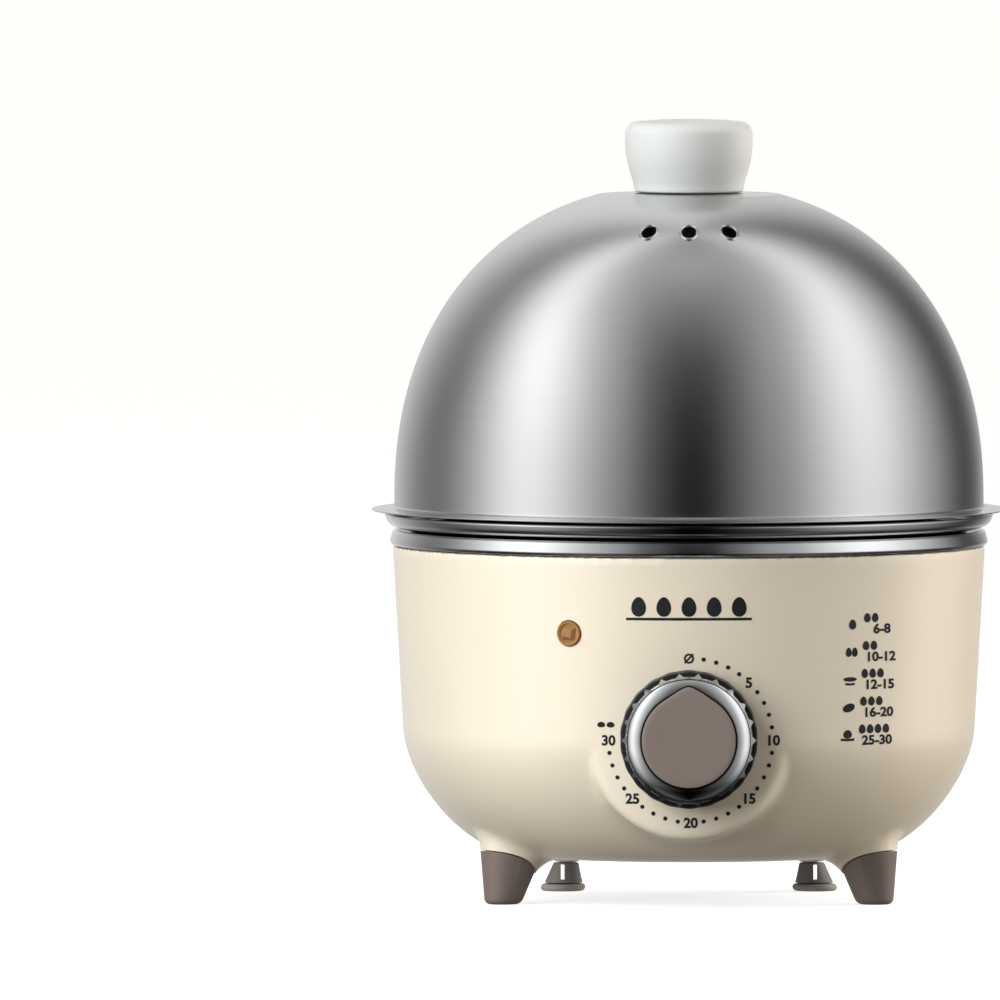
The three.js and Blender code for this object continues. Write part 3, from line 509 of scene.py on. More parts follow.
glassLook = {
    "lens_amber": {"colour": (0.85, 0.5, 0.2), "deep": (0.6, 0.28, 0.08), "rough": 0.05},
    "neon_glass": {"colour": (0.9, 0.86, 0.8), "deep": (0.75, 0.66, 0.55), "rough": 0.02},
}


def glassFinish(slot):
    look = glassLook[slot]
    material, tree, shader = startFinish(slot)
    marks = useGroup(tree, "handling", Size=180)
    skin = useGroup(tree, "mouldSkin", Grain=700, Flow=120)
    tint = blendColour(tree, skin.outputs["Tone"], look["deep"], look["colour"])
    tree.links.new(tint, shader.inputs["Base Color"])
    rough = remap(tree, marks.outputs["Mask"], 0, 1, look["rough"], look["rough"] + 0.06)
    tree.links.new(rough, shader.inputs["Roughness"])
    shader.inputs["Transmission Weight"].default_value = 0.6
    shader.inputs["IOR"].default_value = 1.5
    addBump(tree, shader, skin.outputs["Height"], 0.00003, 0.2)
    return material


finishes = {}
for entry in record["materials"]:
    name = entry["slot"]
    if name in steelLook:
        finishes[name] = steelFinish(name)
    elif name in glassLook:
        finishes[name] = glassFinish(name)
    else:
        finishes[name] = plasticFinish(name)
print("finishes ready:", len(finishes))

# ---- drawing pieces ----


def newObject(name, verts, faces):
    mesh = bpy.data.meshes.new(name)
    mesh.from_pydata([tuple(v) for v in verts], [], faces)
    piece = bpy.data.objects.new(name, mesh)
    scene.collection.objects.link(piece)
    cleanUp(piece)
    return piece


def cleanUp(piece, weld=0.0005):
    form = bmesh.new()
    form.from_mesh(piece.data)
    bmesh.ops.remove_doubles(form, verts=form.verts, dist=weld)
    bmesh.ops.dissolve_degenerate(form, edges=form.edges, dist=weld)
    bmesh.ops.recalc_face_normals(form, faces=form.faces)
    form.to_mesh(piece.data)
    form.free()


def rounded(corners, steps=5, isClosed=True):  # a corner's third number is how far it is rounded
    line = []
    for i, corner in enumerate(corners):
        here = Vector(corner[:2])
        isEnd = not isClosed and i in (0, len(corners) - 1)
        if len(corner) < 3 or isEnd:
            line.append(tuple(here))
            continue
        before = Vector(corners[i - 1][:2]) - here
        after = Vector(corners[(i + 1) % len(corners)][:2]) - here
        reach = min(corner[2], before.length * 0.48, after.length * 0.48)
        start, end = here + before.normalized() * reach, here + after.normalized() * reach
        for k in range(steps + 1):
            t = k / steps
            line.append(tuple((1 - t) ** 2 * start + 2 * t * (1 - t) * here + t * t * end))
    return line


def turned(outline, sides=192, name="turned"):  # the outline closes unless it ends on the axis
    verts, rings = [], []
    for radius, z in outline:
        if radius < 1e-6:
            rings.append([len(verts)])
            verts.append((0, 0, z))
            continue
        rings.append(list(range(len(verts), len(verts) + sides)))
        for i in range(sides):
            angle = 2 * math.pi * i / sides
            verts.append((radius * math.cos(angle), radius * math.sin(angle), z))
    pairs = list(zip(rings, rings[1:]))
    if len(rings[0]) > 1:
        pairs.append((rings[-1], rings[0]))
    faces = []
    for a, b in pairs:
        for i in range(sides):
            j = (i + 1) % sides
            if len(a) == 1 and len(b) > 1:
                faces.append((a[0], b[i], b[j]))
            elif len(b) == 1 and len(a) > 1:
                faces.append((a[i], b[0], a[j]))
            elif len(a) > 1:
                faces.append((a[i], b[i], b[j], a[j]))
    return newObject(name, verts, faces)


def stacked(rings, name="stacked"):  # closed rings of as many points each, with a flat end on both
    count = len(rings[0])
    verts = [point for loop in rings for point in loop]
    faces = [tuple(range(count)), tuple(range(len(verts) - count, len(verts)))]
    for k in range(len(rings) - 1):
        for i in range(count):
            j = (i + 1) % count
            faces.append((k * count + i, k * count + j, (k + 1) * count + j, (k + 1) * count + i))
    return newObject(name, verts, faces)


def bar(radius, low, high, x=0, y=0, sides=48):
    piece = turned([(0, low), (radius, low), (radius, high), (0, high)], sides, "bar")
    piece.data.transform(Matrix.Translation((x, y, 0)))
    return piece


def block(low, high):
    x0, y0, z0 = low
    x1, y1, z1 = high
    square = lambda z: [(x0, y0, z), (x1, y0, z), (x1, y1, z), (x0, y1, z)]
    return stacked([square(z0), square(z1)], "block")


def hoop(centre, across, along, radius, wide, long, sides=48):  # a thin round-sectioned ring, round or oval
    normal = across.cross(along).normalized()
    verts, faces = [], []
    section = 10
    for i in range(sides):
        angle = 2 * math.pi * i / sides
        point = centre + across * wide * math.cos(angle) + along * long * math.sin(angle)
        outward = (across * math.cos(angle) / wide + along * math.sin(angle) / long).normalized()
        for k in range(section):
            turn = 2 * math.pi * k / section
            verts.append(point + radius * (outward * math.cos(turn) + normal * math.sin(turn)))
            ring, nextRing, nextPoint = i * section, ((i + 1) % sides) * section, (k + 1) % section
            faces.append((ring + k, ring + nextPoint, nextRing + nextPoint, nextRing + k))
    return newObject("hoop", verts, faces)


def combine(piece, operation, *others):
    for other in others:
        step = piece.modifiers.new("combine", "BOOLEAN")
        step.operation = operation
        step.solver = "MANIFOLD"
        step.object = other
    bpy.context.view_layer.update()
    graph = bpy.context.evaluated_depsgraph_get()
    mesh = bpy.data.meshes.new_from_object(piece.evaluated_get(graph))
    if not mesh.polygons:
        raise RuntimeError("nothing is left of " + piece.name)
    piece.modifiers.clear()
    old = piece.data
    piece.data = mesh
    bpy.data.meshes.remove(old)
    for other in others:
        bpy.data.objects.remove(other)
    return piece


def moved(piece, matrix):
    piece.data.transform(matrix)
    return piece


def shadeSmooth(piece, sharp):
    piece.data.polygons.foreach_set("use_smooth", [True] * len(piece.data.polygons))
    piece.data.set_sharp_from_angle(angle=math.radians(sharp))


def finished(piece, name, node=None, sharp=30, body=None, slot=None, bevel=0):
    piece.name = name
    cleanUp(piece)
    piece.data.transform(Matrix.Scale(mm, 4) @ Matrix.Translation((0, axisY, 0)))
    if bevel:
        addBevel(piece, bevel)
    shadeSmooth(piece, sharp)
    piece.data.materials.clear()
    piece.data.materials.append(finishes[slot or slotOf[node]])
    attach(piece, body or bodyOf[node])
    if node:
        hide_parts(node)
    return piece


def addBevel(piece, width, segments=3):
    step = piece.modifiers.new("eased edges", "BEVEL")
    step.width = width * mm
    step.segments = segments
    step.limit_method = "ANGLE"
    step.angle_limit = math.radians(40)


# ---- lid: dome, vents and knob ----

dome = {
    "radius": 82.5,
    "wallUp": 3.65,  # from the flange's lowest edge to the upright wall
    "rise": 88.5,
    "droop": 0.55,  # how far the flange slopes down to its edge
    "fullness": 2.22,
    "plateauRadius": 27,
    "sheet": 0.8,
    "hole": 2.4,
    "rows": 44,
}
vents = {"z": 188.7, "halfWidth": 2.25, "halfLength": 3.5, "spacing": 11.2, "tilt": 60, "rim": 0.42,
         "rimSunk": 0.26}
right, back = Vector((1, 0, 0)), Vector((0, 1, 0))
domeWallZ = lowest("lid_dome") + dome["wallUp"]
plateauZ = highest("lid_dome")


def domeCurve(inset):
    radius, rise = dome["radius"] - inset, dome["rise"] - inset
    power = 2 / dome["fullness"]
    end = math.acos((dome["plateauRadius"] / radius) ** (1 / power))
    line = []
    for i in range(dome["rows"] + 1):
        angle = end * i / dome["rows"]
        line.append((radius * math.cos(angle) ** power, domeWallZ + rise * math.sin(angle) ** power))
    return line


def makeDome():
    inner, outer = domeCurve(dome["sheet"]), domeCurve(0)
    rim, flange = widest("lid_dome"), lowest("lid_dome") + 1.65
    top, under = plateauZ, plateauZ - dome["sheet"]
    foot = rounded([
        inner[0],
        (dome["radius"] - dome["sheet"], flange - 0.3, 1.0),
        (dome["radius"] + 0.6, flange - dome["sheet"], 0.8),
        (rim - 0.5, flange - dome["droop"] - 0.4, 0.2),
        (rim, flange - dome["droop"] - 0.3, 0.15),
        (rim, flange - dome["droop"], 0.2),
        (dome["radius"] + 1.5, flange - 0.05, 0.7),
        (dome["radius"], flange + 0.2, 0.7),
        outer[0],
    ], isClosed=False)
    crown = rounded([
        outer[-1], (25.4, top - 0.28, 1.2), (21.5, top - 0.32, 2.0), (16.5, top, 2.0), (dome["hole"], top)
    ], isClosed=False)
    lining = rounded([
        (dome["hole"], under), (16.5, under, 2.0), (21.5, under - 0.32, 2.0), (25.2, under - 0.28, 1.2),
        inner[-1],
    ], isClosed=False)
    outline = foot[:-1] + outer[:-1] + crown + lining[:-1] + inner[:0:-1]
    shell = turned(outline, 224, "dome")
    height = (vents["z"] - domeWallZ) / dome["rise"]
    ventRing = dome["radius"] * (1 - height ** dome["fullness"]) ** (1 / dome["fullness"])
    turn = math.asin(vents["spacing"] / ventRing)
    tilt = math.radians(90 - vents["tilt"])
    punches, rims = [], []
    for k in (-1, 0, 1):
        aim = Matrix.Rotation(k * turn, 4, "Z") @ Matrix.Translation((0, -ventRing, vents["z"]))
        aim = aim @ Matrix.Rotation(tilt, 4, "X")
        squeeze = Matrix.Diagonal((vents["halfWidth"], vents["halfLength"], 1, 1))
        punches.append(moved(bar(1, -6, 6), aim @ squeeze))
        rims.append(moved(hoop(Vector((0, 0, -vents["rimSunk"])), right, back, vents["rim"],
                               vents["halfWidth"] + 0.1, vents["halfLength"] + 0.1), aim))
    combine(shell, "DIFFERENCE", *punches)
    combine(shell, "UNION", *rims)
    return finished(shell, "spun_dome", "lid_dome", 28)


def makeLidKnob():
    foot = lowest("lid_knob")
    wide = widest("lid_knob")
    top = highest("lid_knob")
    outline = rounded([
        (0, foot + 11.7), (1.9, foot + 11.7), (1.9, foot), (14.6, foot), (15.3, foot + 0.3, 0.5),
        (15.5, foot + 2.2, 1.5), (17.3, foot + 8.2, 4.0), (wide, foot + 12.4, 3.6),
        (wide - 0.1, foot + 17.6, 3.2), (15.9, top - 0.75, 2.6), (8, top - 0.12, 4.0), (0, top),
    ], 7, isClosed=False)
    return finished(turned(outline, 160, "lid knob"), "turned_lid_knob", "lid_knob", 40)


makeDome()
makeLidKnob()
print("lid made")

# ---- egg tray ----

tray = {"floor": 95.4, "sheet": 0.8, "seatRadius": 18, "seatRing": 45.5, "steamRing": 26.3, "steamRadius": 2,
        "roll": 0.75}


def ringOf(radius, count, start):  # places round the axis, starting at an angle in degrees
    angles = [math.radians(start + 360 * k / count) for k in range(count)]
    return [(radius * math.cos(angle), radius * math.sin(angle)) for angle in angles]


def makeTray():
    floor, lip = tray["floor"], highest("egg_tray")
    under = floor - tray["sheet"]
    outline = rounded([
        (0, under), (72.1, under, 2.0), (77.4, 102.0, 1.5), (78.4, 104.2, 1.2), (81.9, 104.25, 1.6),
        (84.3, 105.6, 2.0), (85.2, lip - 0.7, 1.0), (85.0, lip - 0.2, 0.15), (84.5, lip - 0.2, 0.15),
        (83.4, 106.1, 1.6), (81.5, 105.05, 1.6), (78.6, 105.05, 1.2), (76.7, 102.4, 1.5), (71.6, floor, 2.0),
        (0, floor),
    ], isClosed=False)
    dish = turned(outline, 224, "tray")
    seats = [(0, 0)] + ringOf(tray["seatRing"], 6, 0)
    steam = ringOf(tray["steamRing"], 6, 30)
    holes = [bar(tray["seatRadius"], floor - 5, floor + 5, x, y, 72) for x, y in seats]
    holes += [bar(tray["steamRadius"], floor - 5, floor + 5, x, y, 24) for x, y in steam]
    combine(dish, "DIFFERENCE", *holes)
    rolled = tray["seatRadius"] + tray["roll"]
    rims = [hoop(Vector((x, y, under + 0.2)), right, back, tray["roll"], rolled, rolled, 72)
            for x, y in seats]
    combine(dish, "UNION", *rims)
    return finished(dish, "pressed_egg_tray", "egg_tray", 30)


makeTray()
print("tray made")

# ---- water pan with its collar ----

pan = {"floor": 79, "sheet": 0.8, "studRing": 28, "studRadius": 3.5, "studLow": 61.1, "screwRadius": 2.1}


def makePan():
    floor, under = pan["floor"], pan["floor"] - pan["sheet"]
    outline = rounded([
        (0, under), (58.4, under, 5.0), (66.2, 82.4, 3.0), (74.8, 93.6, 4.0), (79.6, 102.0, 1.2),
        (81.6, 102.9, 0.7), (82.7, 100.9, 0.7), (82.35, 99.6, 0.2), (83.1, 99.6, 0.15), (83.75, 100.5, 0.3),
        (82.95, 103.4, 0.35), (82.1, 103.9, 0.4), (79.2, 103.3, 1.0), (74, 94, 4.0), (65.5, 83, 3.0),
        (58, floor, 5.0), (0, floor),
    ], 6, isClosed=False)
    dish = turned(outline, 224, "pan")
    studs = []
    for x, y in ringOf(pan["studRing"], 3, 90):
        stud = bar(pan["studRadius"], pan["studLow"], under + 0.4, x, y)
        bore = bar(pan["screwRadius"], pan["studLow"] - 1, under - 2, x, y)
        studs.append(combine(stud, "DIFFERENCE", bore))
    combine(dish, "UNION", *studs)
    return finished(dish, "pressed_water_pan", "water_pan", 30)


makePan()
print("pan made")

# ---- base shell: a moulded skin faired over its body, dial pad and leg roots ----

shell = {
    "topRadius": 82.9,
    "taper": 0.056,
    "shoulderZ": 47.5,
    "underRadius": 48,
    "underZ": 12.8,
    "fullness": 1.72,
    "wall": 2.4,
    "coverRecess": 1.7,
    "coverLedge": 3.2,
    "headroom": 12,
    "shaftHole": 5.5,
    "screwHole": 1.8,
    "screwApart": 12.5,  # from the dial's axis
    "lensHole": 3.75,
    "glandHole": 5.9,
    "rimRound": 1.1,
    "padRadius": 28.8,
    "padEdge": 3.0,  # how softly the pad's own edge rolls over
    "padBlend": 4.6,
    "legBlend": (2.2, 7.0),  # on a leg's outer side, and on its inner side
    "voxel": 1.25,
}
leg = {"lean": -0.195, "splitZ": 13.0, "splitTilt": 25, "splitAt": 56, "splitRound": 24, "gap": 0.15,
       "pegRadius": 3}
frontLeg = [(0, 0), (4.2, 0, 0.6), (5.3, 0.9, 0.9), (5.9, 3.2, 1.2), (8.4, 13), (10.2, 20, 3), (10.2, 24),
            (0, 24)]
rearRoot = [(0, 8.3), (3.7, 8.3, 0.4), (5, 14), (8, 24), (0, 24)]
topZ = highest("body_shell")
knobLow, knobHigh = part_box("knob_skirt")
dialZ = (knobLow[2] + knobHigh[2]) / 2 / mm
dialPlane = axisY - knobHigh[1] / mm - 0.9  # the plane the knob turns against, ahead of the axis
legPlaces = {}
for mount in record["mounts"]:
    x, y, z = mount["pos_m"]
    legPlaces[mount["name"].replace("foot_", "").replace("_rest", "")] = (x / mm, y / mm - axisY)


def wallRadius(z, inset=0.0):
    return shell["topRadius"] - inset - shell["taper"] * (topZ - z)


def bodyRadius(z, inset=0.0):
    straight = wallRadius(z, inset)
    drop = shell["shoulderZ"] - shell["underZ"] - inset
    down = np.clip((shell["shoulderZ"] - z) / drop, 0, 1)
    curl = (1 - down ** shell["fullness"]) ** (1 / shell["fullness"])
    return shell["underRadius"] + (straight - shell["underRadius"]) * curl


def bodyOutline(low, high, inset, steps=56):
    depth = shell["shoulderZ"] - shell["underZ"] - inset
    heights = [shell["shoulderZ"] - depth * math.cos(math.pi / 2 * k / steps) for k in range(steps)]
    heights = [low] + [z for z in heights if z > low + 0.3] + [shell["shoulderZ"], 60, 80, high]
    return [(float(bodyRadius(z, inset)), z) for z in heights]


def legFrame(at):
    x, y = at
    lean = Matrix(((1, 0, leg["lean"], 0), (0, 1, 0, 0), (0, 0, 1, 0), (0, 0, 0, 1)))
    return Matrix.Translation((x, y, 0)) @ Matrix.Rotation(math.atan2(y, x), 4, "Z") @ lean


def softMin(a, b, k):
    h = np.clip(0.5 + 0.5 * (b - a) / k, 0, 1)
    return b + (a - b) * h - k * h * (1 - h)


def softMax(a, b, k):
    return -softMin(-a, -b, k)


def outlineDistance(r, z, line):  # to a closed outline in the r, z plane, negative inside
    nearest = np.full(r.shape, 1e9)
    inside = np.zeros(r.shape, bool)
    for (r0, z0), (r1, z1) in zip(line, line[1:] + line[:1]):
        dr, dz = r1 - r0, z1 - z0
        t = np.clip(((r - r0) * dr + (z - z0) * dz) / (dr * dr + dz * dz + 1e-12), 0, 1)
        nearest = np.minimum(nearest, np.hypot(r - r0 - t * dr, z - z0 - t * dz))
        if abs(dz) > 1e-9:
            crosses = ((z0 > z) != (z1 > z)) & (r < r0 + (z - z0) * dr / dz)
            inside ^= crosses
    return np.where(inside, -nearest, nearest)


bodyLine = [(-60, shell["underZ"])] + rounded(
    [(shell["underRadius"], shell["underZ"])] + bodyOutline(shell["underZ"] + 0.05, topZ, 0)[:-1]
    + [(float(bodyRadius(topZ)), topZ, shell["rimRound"]), (60, topZ)], 6, isClosed=False
) + [(-60, topZ)]


def legDistance(points, at, outline, floorAt=None):
    spot = np.array(points) - np.array((at[0], at[1], 0))
    angle = math.atan2(at[1], at[0])
    out = spot[:, 0] * math.cos(angle) + spot[:, 1] * math.sin(angle)
    u = out - leg["lean"] * spot[:, 2]
    v = -spot[:, 0] * math.sin(angle) + spot[:, 1] * math.cos(angle)
    sides = [(p[0], p[1]) for p in outline if p[0] > 0]
    radius = np.interp(spot[:, 2], [z for r, z in sides], [r for r, z in sides])
    away = (np.hypot(u, v) - radius) * 0.97
    if floorAt is not None:
        away = softMax(away, floorAt - spot[:, 2], 0.8)
    outerBlend, innerBlend = shell["legBlend"]
    return away, np.interp(out, (-4, 5), (innerBlend, outerBlend))


def skinDistance(points):
    x, y, z = points[:, 0], points[:, 1], points[:, 2]
    r = np.hypot(x, y)
    body = outlineDistance(r, z, bodyLine)
    edge = np.where(y < 0, np.hypot(x, z - dialZ) - shell["padRadius"], 50.0)
    pad = softMax(r - wallRadius(z), edge, shell["padEdge"])
    step = wallRadius(z) - bodyRadius(z)
    skin = softMin(body, pad, np.clip(0.8 * step, 0.01, shell["padBlend"]))
    for name, at in legPlaces.items():
        if name.startswith("front"):
            root, blend = legDistance(points, at, frontLeg)
        else:
            root, blend = legDistance(points, at, rearRoot, 8.3)
        skin = softMin(skin, root, blend)
    return skin


def fairOver(piece, rounds=5, reach=0.02):  # slides every point onto the faired skin
    count = len(piece.data.vertices)
    points = np.empty(count * 3)
    piece.data.vertices.foreach_get("co", points)
    points = points.reshape(-1, 3)
    for _ in range(rounds):
        here = skinDistance(points)
        slope = np.stack([skinDistance(points + step) - here for step in np.eye(3) * reach], 1) / reach
        steep = np.maximum((slope ** 2).sum(1), 0.2)
        points = points - slope * np.clip(here / steep, -1.5, 1.5)[:, None]
    piece.data.vertices.foreach_set("co", points.reshape(-1))
    piece.data.update()


quarter = Matrix.Rotation(math.pi / 2, 4, "X")


def splitBarrel(at, inset):  # what lies under the slanted, rounded joint of a front leg
    x, y = at
    made = bar(leg["splitRound"] - inset, -20, 20, sides=160)
    moved(made, Matrix.Translation((0, 0, -leg["splitRound"])) @ quarter)
    tilt = Matrix.Translation((leg["splitAt"] - math.hypot(x, y), 0, leg["splitZ"]))
    tilt = tilt @ Matrix.Rotation(math.radians(-leg["splitTilt"]), 4, "Y")
    stand = Matrix.Translation((x, y, 0)) @ Matrix.Rotation(math.atan2(y, x), 4, "Z")
    return moved(made, stand @ tilt)


dialFrame = Matrix.Translation((0, -dialPlane, dialZ)) @ quarter
lampAt = middle("lamp_lens")
lampFrame = (Matrix.Rotation(math.atan2(lampAt.x, -lampAt.y), 4, "Z")
             @ Matrix.Translation((0, -float(bodyRadius(lampAt.z)), lampAt.z)) @ quarter)
glandAt = middle("cord_gland")
glandFrame = (Matrix.Translation((0, float(bodyRadius(glandAt.z)), glandAt.z))
              @ Matrix.Rotation(-math.pi / 2, 4, "X"))


def padBody(inset):
    low, high = dialZ - 30, dialZ + 30
    wall = turned([(0, low), (wallRadius(low, inset), low), (wallRadius(high, inset), high), (0, high)], 160)
    return combine(wall, "INTERSECT", moved(bar(shell["padRadius"] - inset, -40, 5, sides=120), dialFrame))


def makeShell():
    under = shell["underZ"]
    skin = turned([(0, under)] + bodyOutline(under + 0.1, topZ, 0) + [(0, topZ)], 160, "skin")
    extras = [padBody(0)]
    for name, at in legPlaces.items():
        outline = frontLeg if name.startswith("front") else rearRoot
        extras.append(moved(turned([p[:2] for p in outline], 48), legFrame(at)))
    combine(skin, "UNION", *extras)
    step = skin.modifiers.new("even skin", "REMESH")
    step.mode = "VOXEL"
    step.voxel_size = shell["voxel"]
    step.adaptivity = 0
    combine(skin, "UNION")
    fairOver(skin)
    floor = under + 4
    crown = topZ + shell["headroom"]  # over anything that the fairing raised above the legs
    cavity = turned([(0, floor)] + bodyOutline(floor, topZ + 1, shell["wall"])
                    + [(wallRadius(topZ, shell["wall"]), crown), (0, crown)], 192)
    cover = widest("bottom_cover")
    cuts = [
        cavity,
        padBody(shell["wall"]),
        bar(cover + 0.4, 0, under + shell["coverRecess"], sides=120),
        bar(cover - shell["coverLedge"], 0, floor + 1, sides=120),
        moved(bar(shell["shaftHole"], -9, 4), dialFrame),
        moved(bar(shell["screwHole"], -9, 4, x=-shell["screwApart"]), dialFrame),
        moved(bar(shell["screwHole"], -9, 4, x=shell["screwApart"]), dialFrame),
        moved(bar(shell["lensHole"], -6, 3, sides=64), lampFrame),
        moved(bar(shell["glandHole"], -12, 6), glandFrame),
    ]
    for name, at in legPlaces.items():
        if name.startswith("front"):
            cuts.append(splitBarrel(at, -leg["gap"]))
            cuts.append(moved(bar(leg["pegRadius"] + 0.3, 6, 18), legFrame(at)))
        else:
            cuts.append(moved(bar(1.9, 7, 12.4), legFrame(at)))
    combine(skin, "DIFFERENCE", *cuts)
    return finished(skin, "moulded_base", "body_shell", 33)


makeShell()
print("base shell made")

# ---- feet ----

slit = {"half": 0.5, "low": 2.9, "high": 7.5}  # through each rear foot, from side to side
rearCone = [(0, 2.3), (5.4, 2.3, 0.3), (4.9, 3.6, 1.2), (3.5, 8, 0.4), (1.6, 8), (1.6, 12, 0.4), (0, 12)]
rearSole = [(0, 0), (5.7, 0, 0.5), (6.3, 0.7, 0.5), (6.2, 1.6, 0.4), (5.6, 2.0, 0.3), (0, 2.0)]


def makeFeet():
    for name, at in legPlaces.items():
        if name.startswith("front"):
            tip = moved(turned(rounded(frontLeg, isClosed=False), 96, "foot"), legFrame(at))
            combine(tip, "INTERSECT", splitBarrel(at, leg["gap"]))
            combine(tip, "UNION", moved(bar(leg["pegRadius"], 6, 17.6), legFrame(at)))
            finished(tip, "front_foot_" + name[6:], "foot_" + name, 30, bevel=0.3)
            continue
        cone = moved(turned(rounded(rearCone, isClosed=False), 72, "cone"), legFrame(at))
        cutter = block((at[0] - 60, -slit["half"], slit["low"]), (at[0] + 60, slit["half"], slit["high"]))
        cutter.data.transform(Matrix.Translation((0, at[1], 0)))
        toFoot, fromFoot = Matrix.Translation((at[0], at[1], 0)), Matrix.Translation((-at[0], -at[1], 0))
        combine(cone, "DIFFERENCE", moved(cutter, toFoot @ Matrix.Rotation(math.pi / 2, 4, "Z") @ fromFoot))
        finished(cone, "rear_foot_" + name[5:], "foot_" + name, 30)
        pad = moved(turned(rounded(rearSole, isClosed=False), 72, "pad"), legFrame(at))
        finished(pad, "rear_pad_" + name[5:], "foot_pad_" + name, 30)


makeFeet()
print("feet made")

# ---- bottom cover, its screws, and the cord gland ----

cover = {"thickness": 1.3, "slotHalf": 1.2, "slotFront": -34, "slotBack": -18, "pitch": 7, "pillarRadius": 6,
         "screwRing": 28, "headRadius": 3.8, "headTall": 3.3, "screwRadius": 1.7, "crossLong": 1.9,
         "crossWide": 0.45, "crossDeep": 1.4}
screwSpots = ringOf(cover["screwRing"], 3, 90)


def makeCover():
    under, wide = lowest("bottom_cover"), widest("bottom_cover")
    top = under + cover["thickness"]
    outline = rounded([(0, under), (wide, under, 0.4), (wide, top, 0.3), (0, top)], 4, isClosed=False)
    disc = turned(outline, 160, "cover")
    pillars = [bar(cover["pillarRadius"], under + 0.3, highest("bottom_cover"), x, y) for x, y in screwSpots]
    combine(disc, "UNION", *pillars)
    screwHeadTop = lowest("tie_screw_1") + cover["headTall"]
    cuts = []
    for x, y in screwSpots:
        cuts.append(bar(cover["screwRadius"] + 0.7, 10, highest("bottom_cover") + 1, x, y))
        cuts.append(bar(cover["headRadius"] + 0.4, 10, screwHeadTop + 0.3, x, y))
    for k in range(-2, 3):
        half, x = cover["slotHalf"], k * cover["pitch"]
        cuts.append(block((x - half, cover["slotFront"], 10), (x + half, cover["slotBack"], 16)))
        cuts.append(bar(half, 10, 16, x, cover["slotFront"], 24))
        cuts.append(bar(half, 10, 16, x, cover["slotBack"], 24))
    combine(disc, "DIFFERENCE", *cuts)
    finished(disc, "vented_cover", "bottom_cover", 30)
    for k, (x, y) in enumerate(screwSpots):
        node = f"tie_screw_{k + 1}"
        low, high = lowest(node), highest(node)
        wide, thin, shoulder = cover["headRadius"], cover["screwRadius"], low + cover["headTall"]
        head = rounded([(0, low), (2.6, low, 1.0), (wide, low + 1.4, 0.8), (wide, shoulder, 0.2),
                        (thin, shoulder, 0.3), (thin, high, 0.5), (0, high)], isClosed=False)
        screw = moved(turned(head, 40, "screw"), Matrix.Translation((x, y, 0)))
        long, narrow, deep = cover["crossLong"], cover["crossWide"], low + cover["crossDeep"]
        cross = [block((x - narrow, y - long, low - 1), (x + narrow, y + long, deep)),
                 block((x - long, y - narrow, low - 1), (x + long, y + narrow, deep))]
        combine(screw, "DIFFERENCE", *cross)
        finished(screw, f"cross_screw_{k + 1}", node, 30)


def makeGland():
    outline = rounded([
        (3.5, -6.4), (6.6, -6.4, 0.3), (6.6, -4, 0.2), (5.6, -4, 0.2), (5.6, 0.3, 0.1), (8, 0.3, 0.3),
        (7.9, 2.2, 0.6), (6.3, 3.2, 0.8), (5.2, 4.6, 0.5), (3.5, 4.6, 0.4),
    ])
    made = moved(turned(outline, 96, "gland"), glandFrame)
    finished(made, "ribbed_gland", "cord_gland", 30)


makeCover()
makeGland()
print("underside made")

# ---- dial knob: ribbed skirt, chrome bezel and pointer cap, drawn in the dial's own frame ----

dial = {
    "ribs": 22,
    "skirtRadius": 19.2,
    "ribDepth": 0.14,
    "ribSquare": 0.6,  # below 1, the ribs are squarer than a wave
    "back": 0.9,
    "skirtFront": 9.5,
    "seat": 9.8,  # the bezel and the cap stand on this plane
    "bezelRadius": 17.8,
    "tooth": 0.8,
    "toothHalf": 0.3,  # half a tooth's foot, for the pitch
    "capRadius": 13.15,
    "tip": 15.0,
    "tipSpread": 0.6,
    "tipRound": 0.1,
    "capFront": 14.4,
    "groove": 0.4,
}


def aroundDial(radiusAt, height, count):
    points = []
    for i in range(count):
        angle = 2 * math.pi * i / count
        radius = radiusAt(angle)
        points.append((radius * math.sin(angle), radius * math.cos(angle), height))
    return points


def capEdge(angle):  # a circle drawn out to a rounded point at the top
    side = min(angle, 2 * math.pi - angle) / dial["tipSpread"]
    rise = max(0.0, 1 - math.hypot(side, dial["tipRound"])) / (1 - dial["tipRound"])
    return dial["capRadius"] + (dial["tip"] - dial["capRadius"]) * rise ** 1.9


def makeSkirt():
    def ribbed(angle, inset):
        wave = math.cos(dial["ribs"] * angle)
        rib = dial["ribDepth"] * 0.5
        return dial["skirtRadius"] - inset - rib + rib * math.copysign(abs(wave) ** dial["ribSquare"], wave)
    levels = [(dial["back"], 0.35), (dial["back"] + 0.35, 0), (dial["skirtFront"] - 0.9, 0.05),
              (dial["skirtFront"] - 0.25, 0.3), (dial["skirtFront"], 0.8)]
    wheel = stacked([aroundDial(lambda a, cut=inset: ribbed(a, cut), z, dial["ribs"] * 16)
                     for z, inset in levels], "skirt")
    hollow = combine(bar(16.8, 0, 6.5, sides=96), "DIFFERENCE", bar(5.2, -1, 7))
    shaftHole = combine(bar(3.3, -1, 10), "DIFFERENCE", block((-4, 2.2, -2), (4, 5, 11)))
    combine(wheel, "DIFFERENCE", hollow, shaftHole)
    return finished(moved(wheel, dialFrame), "ribbed_skirt", "knob_skirt", 35)


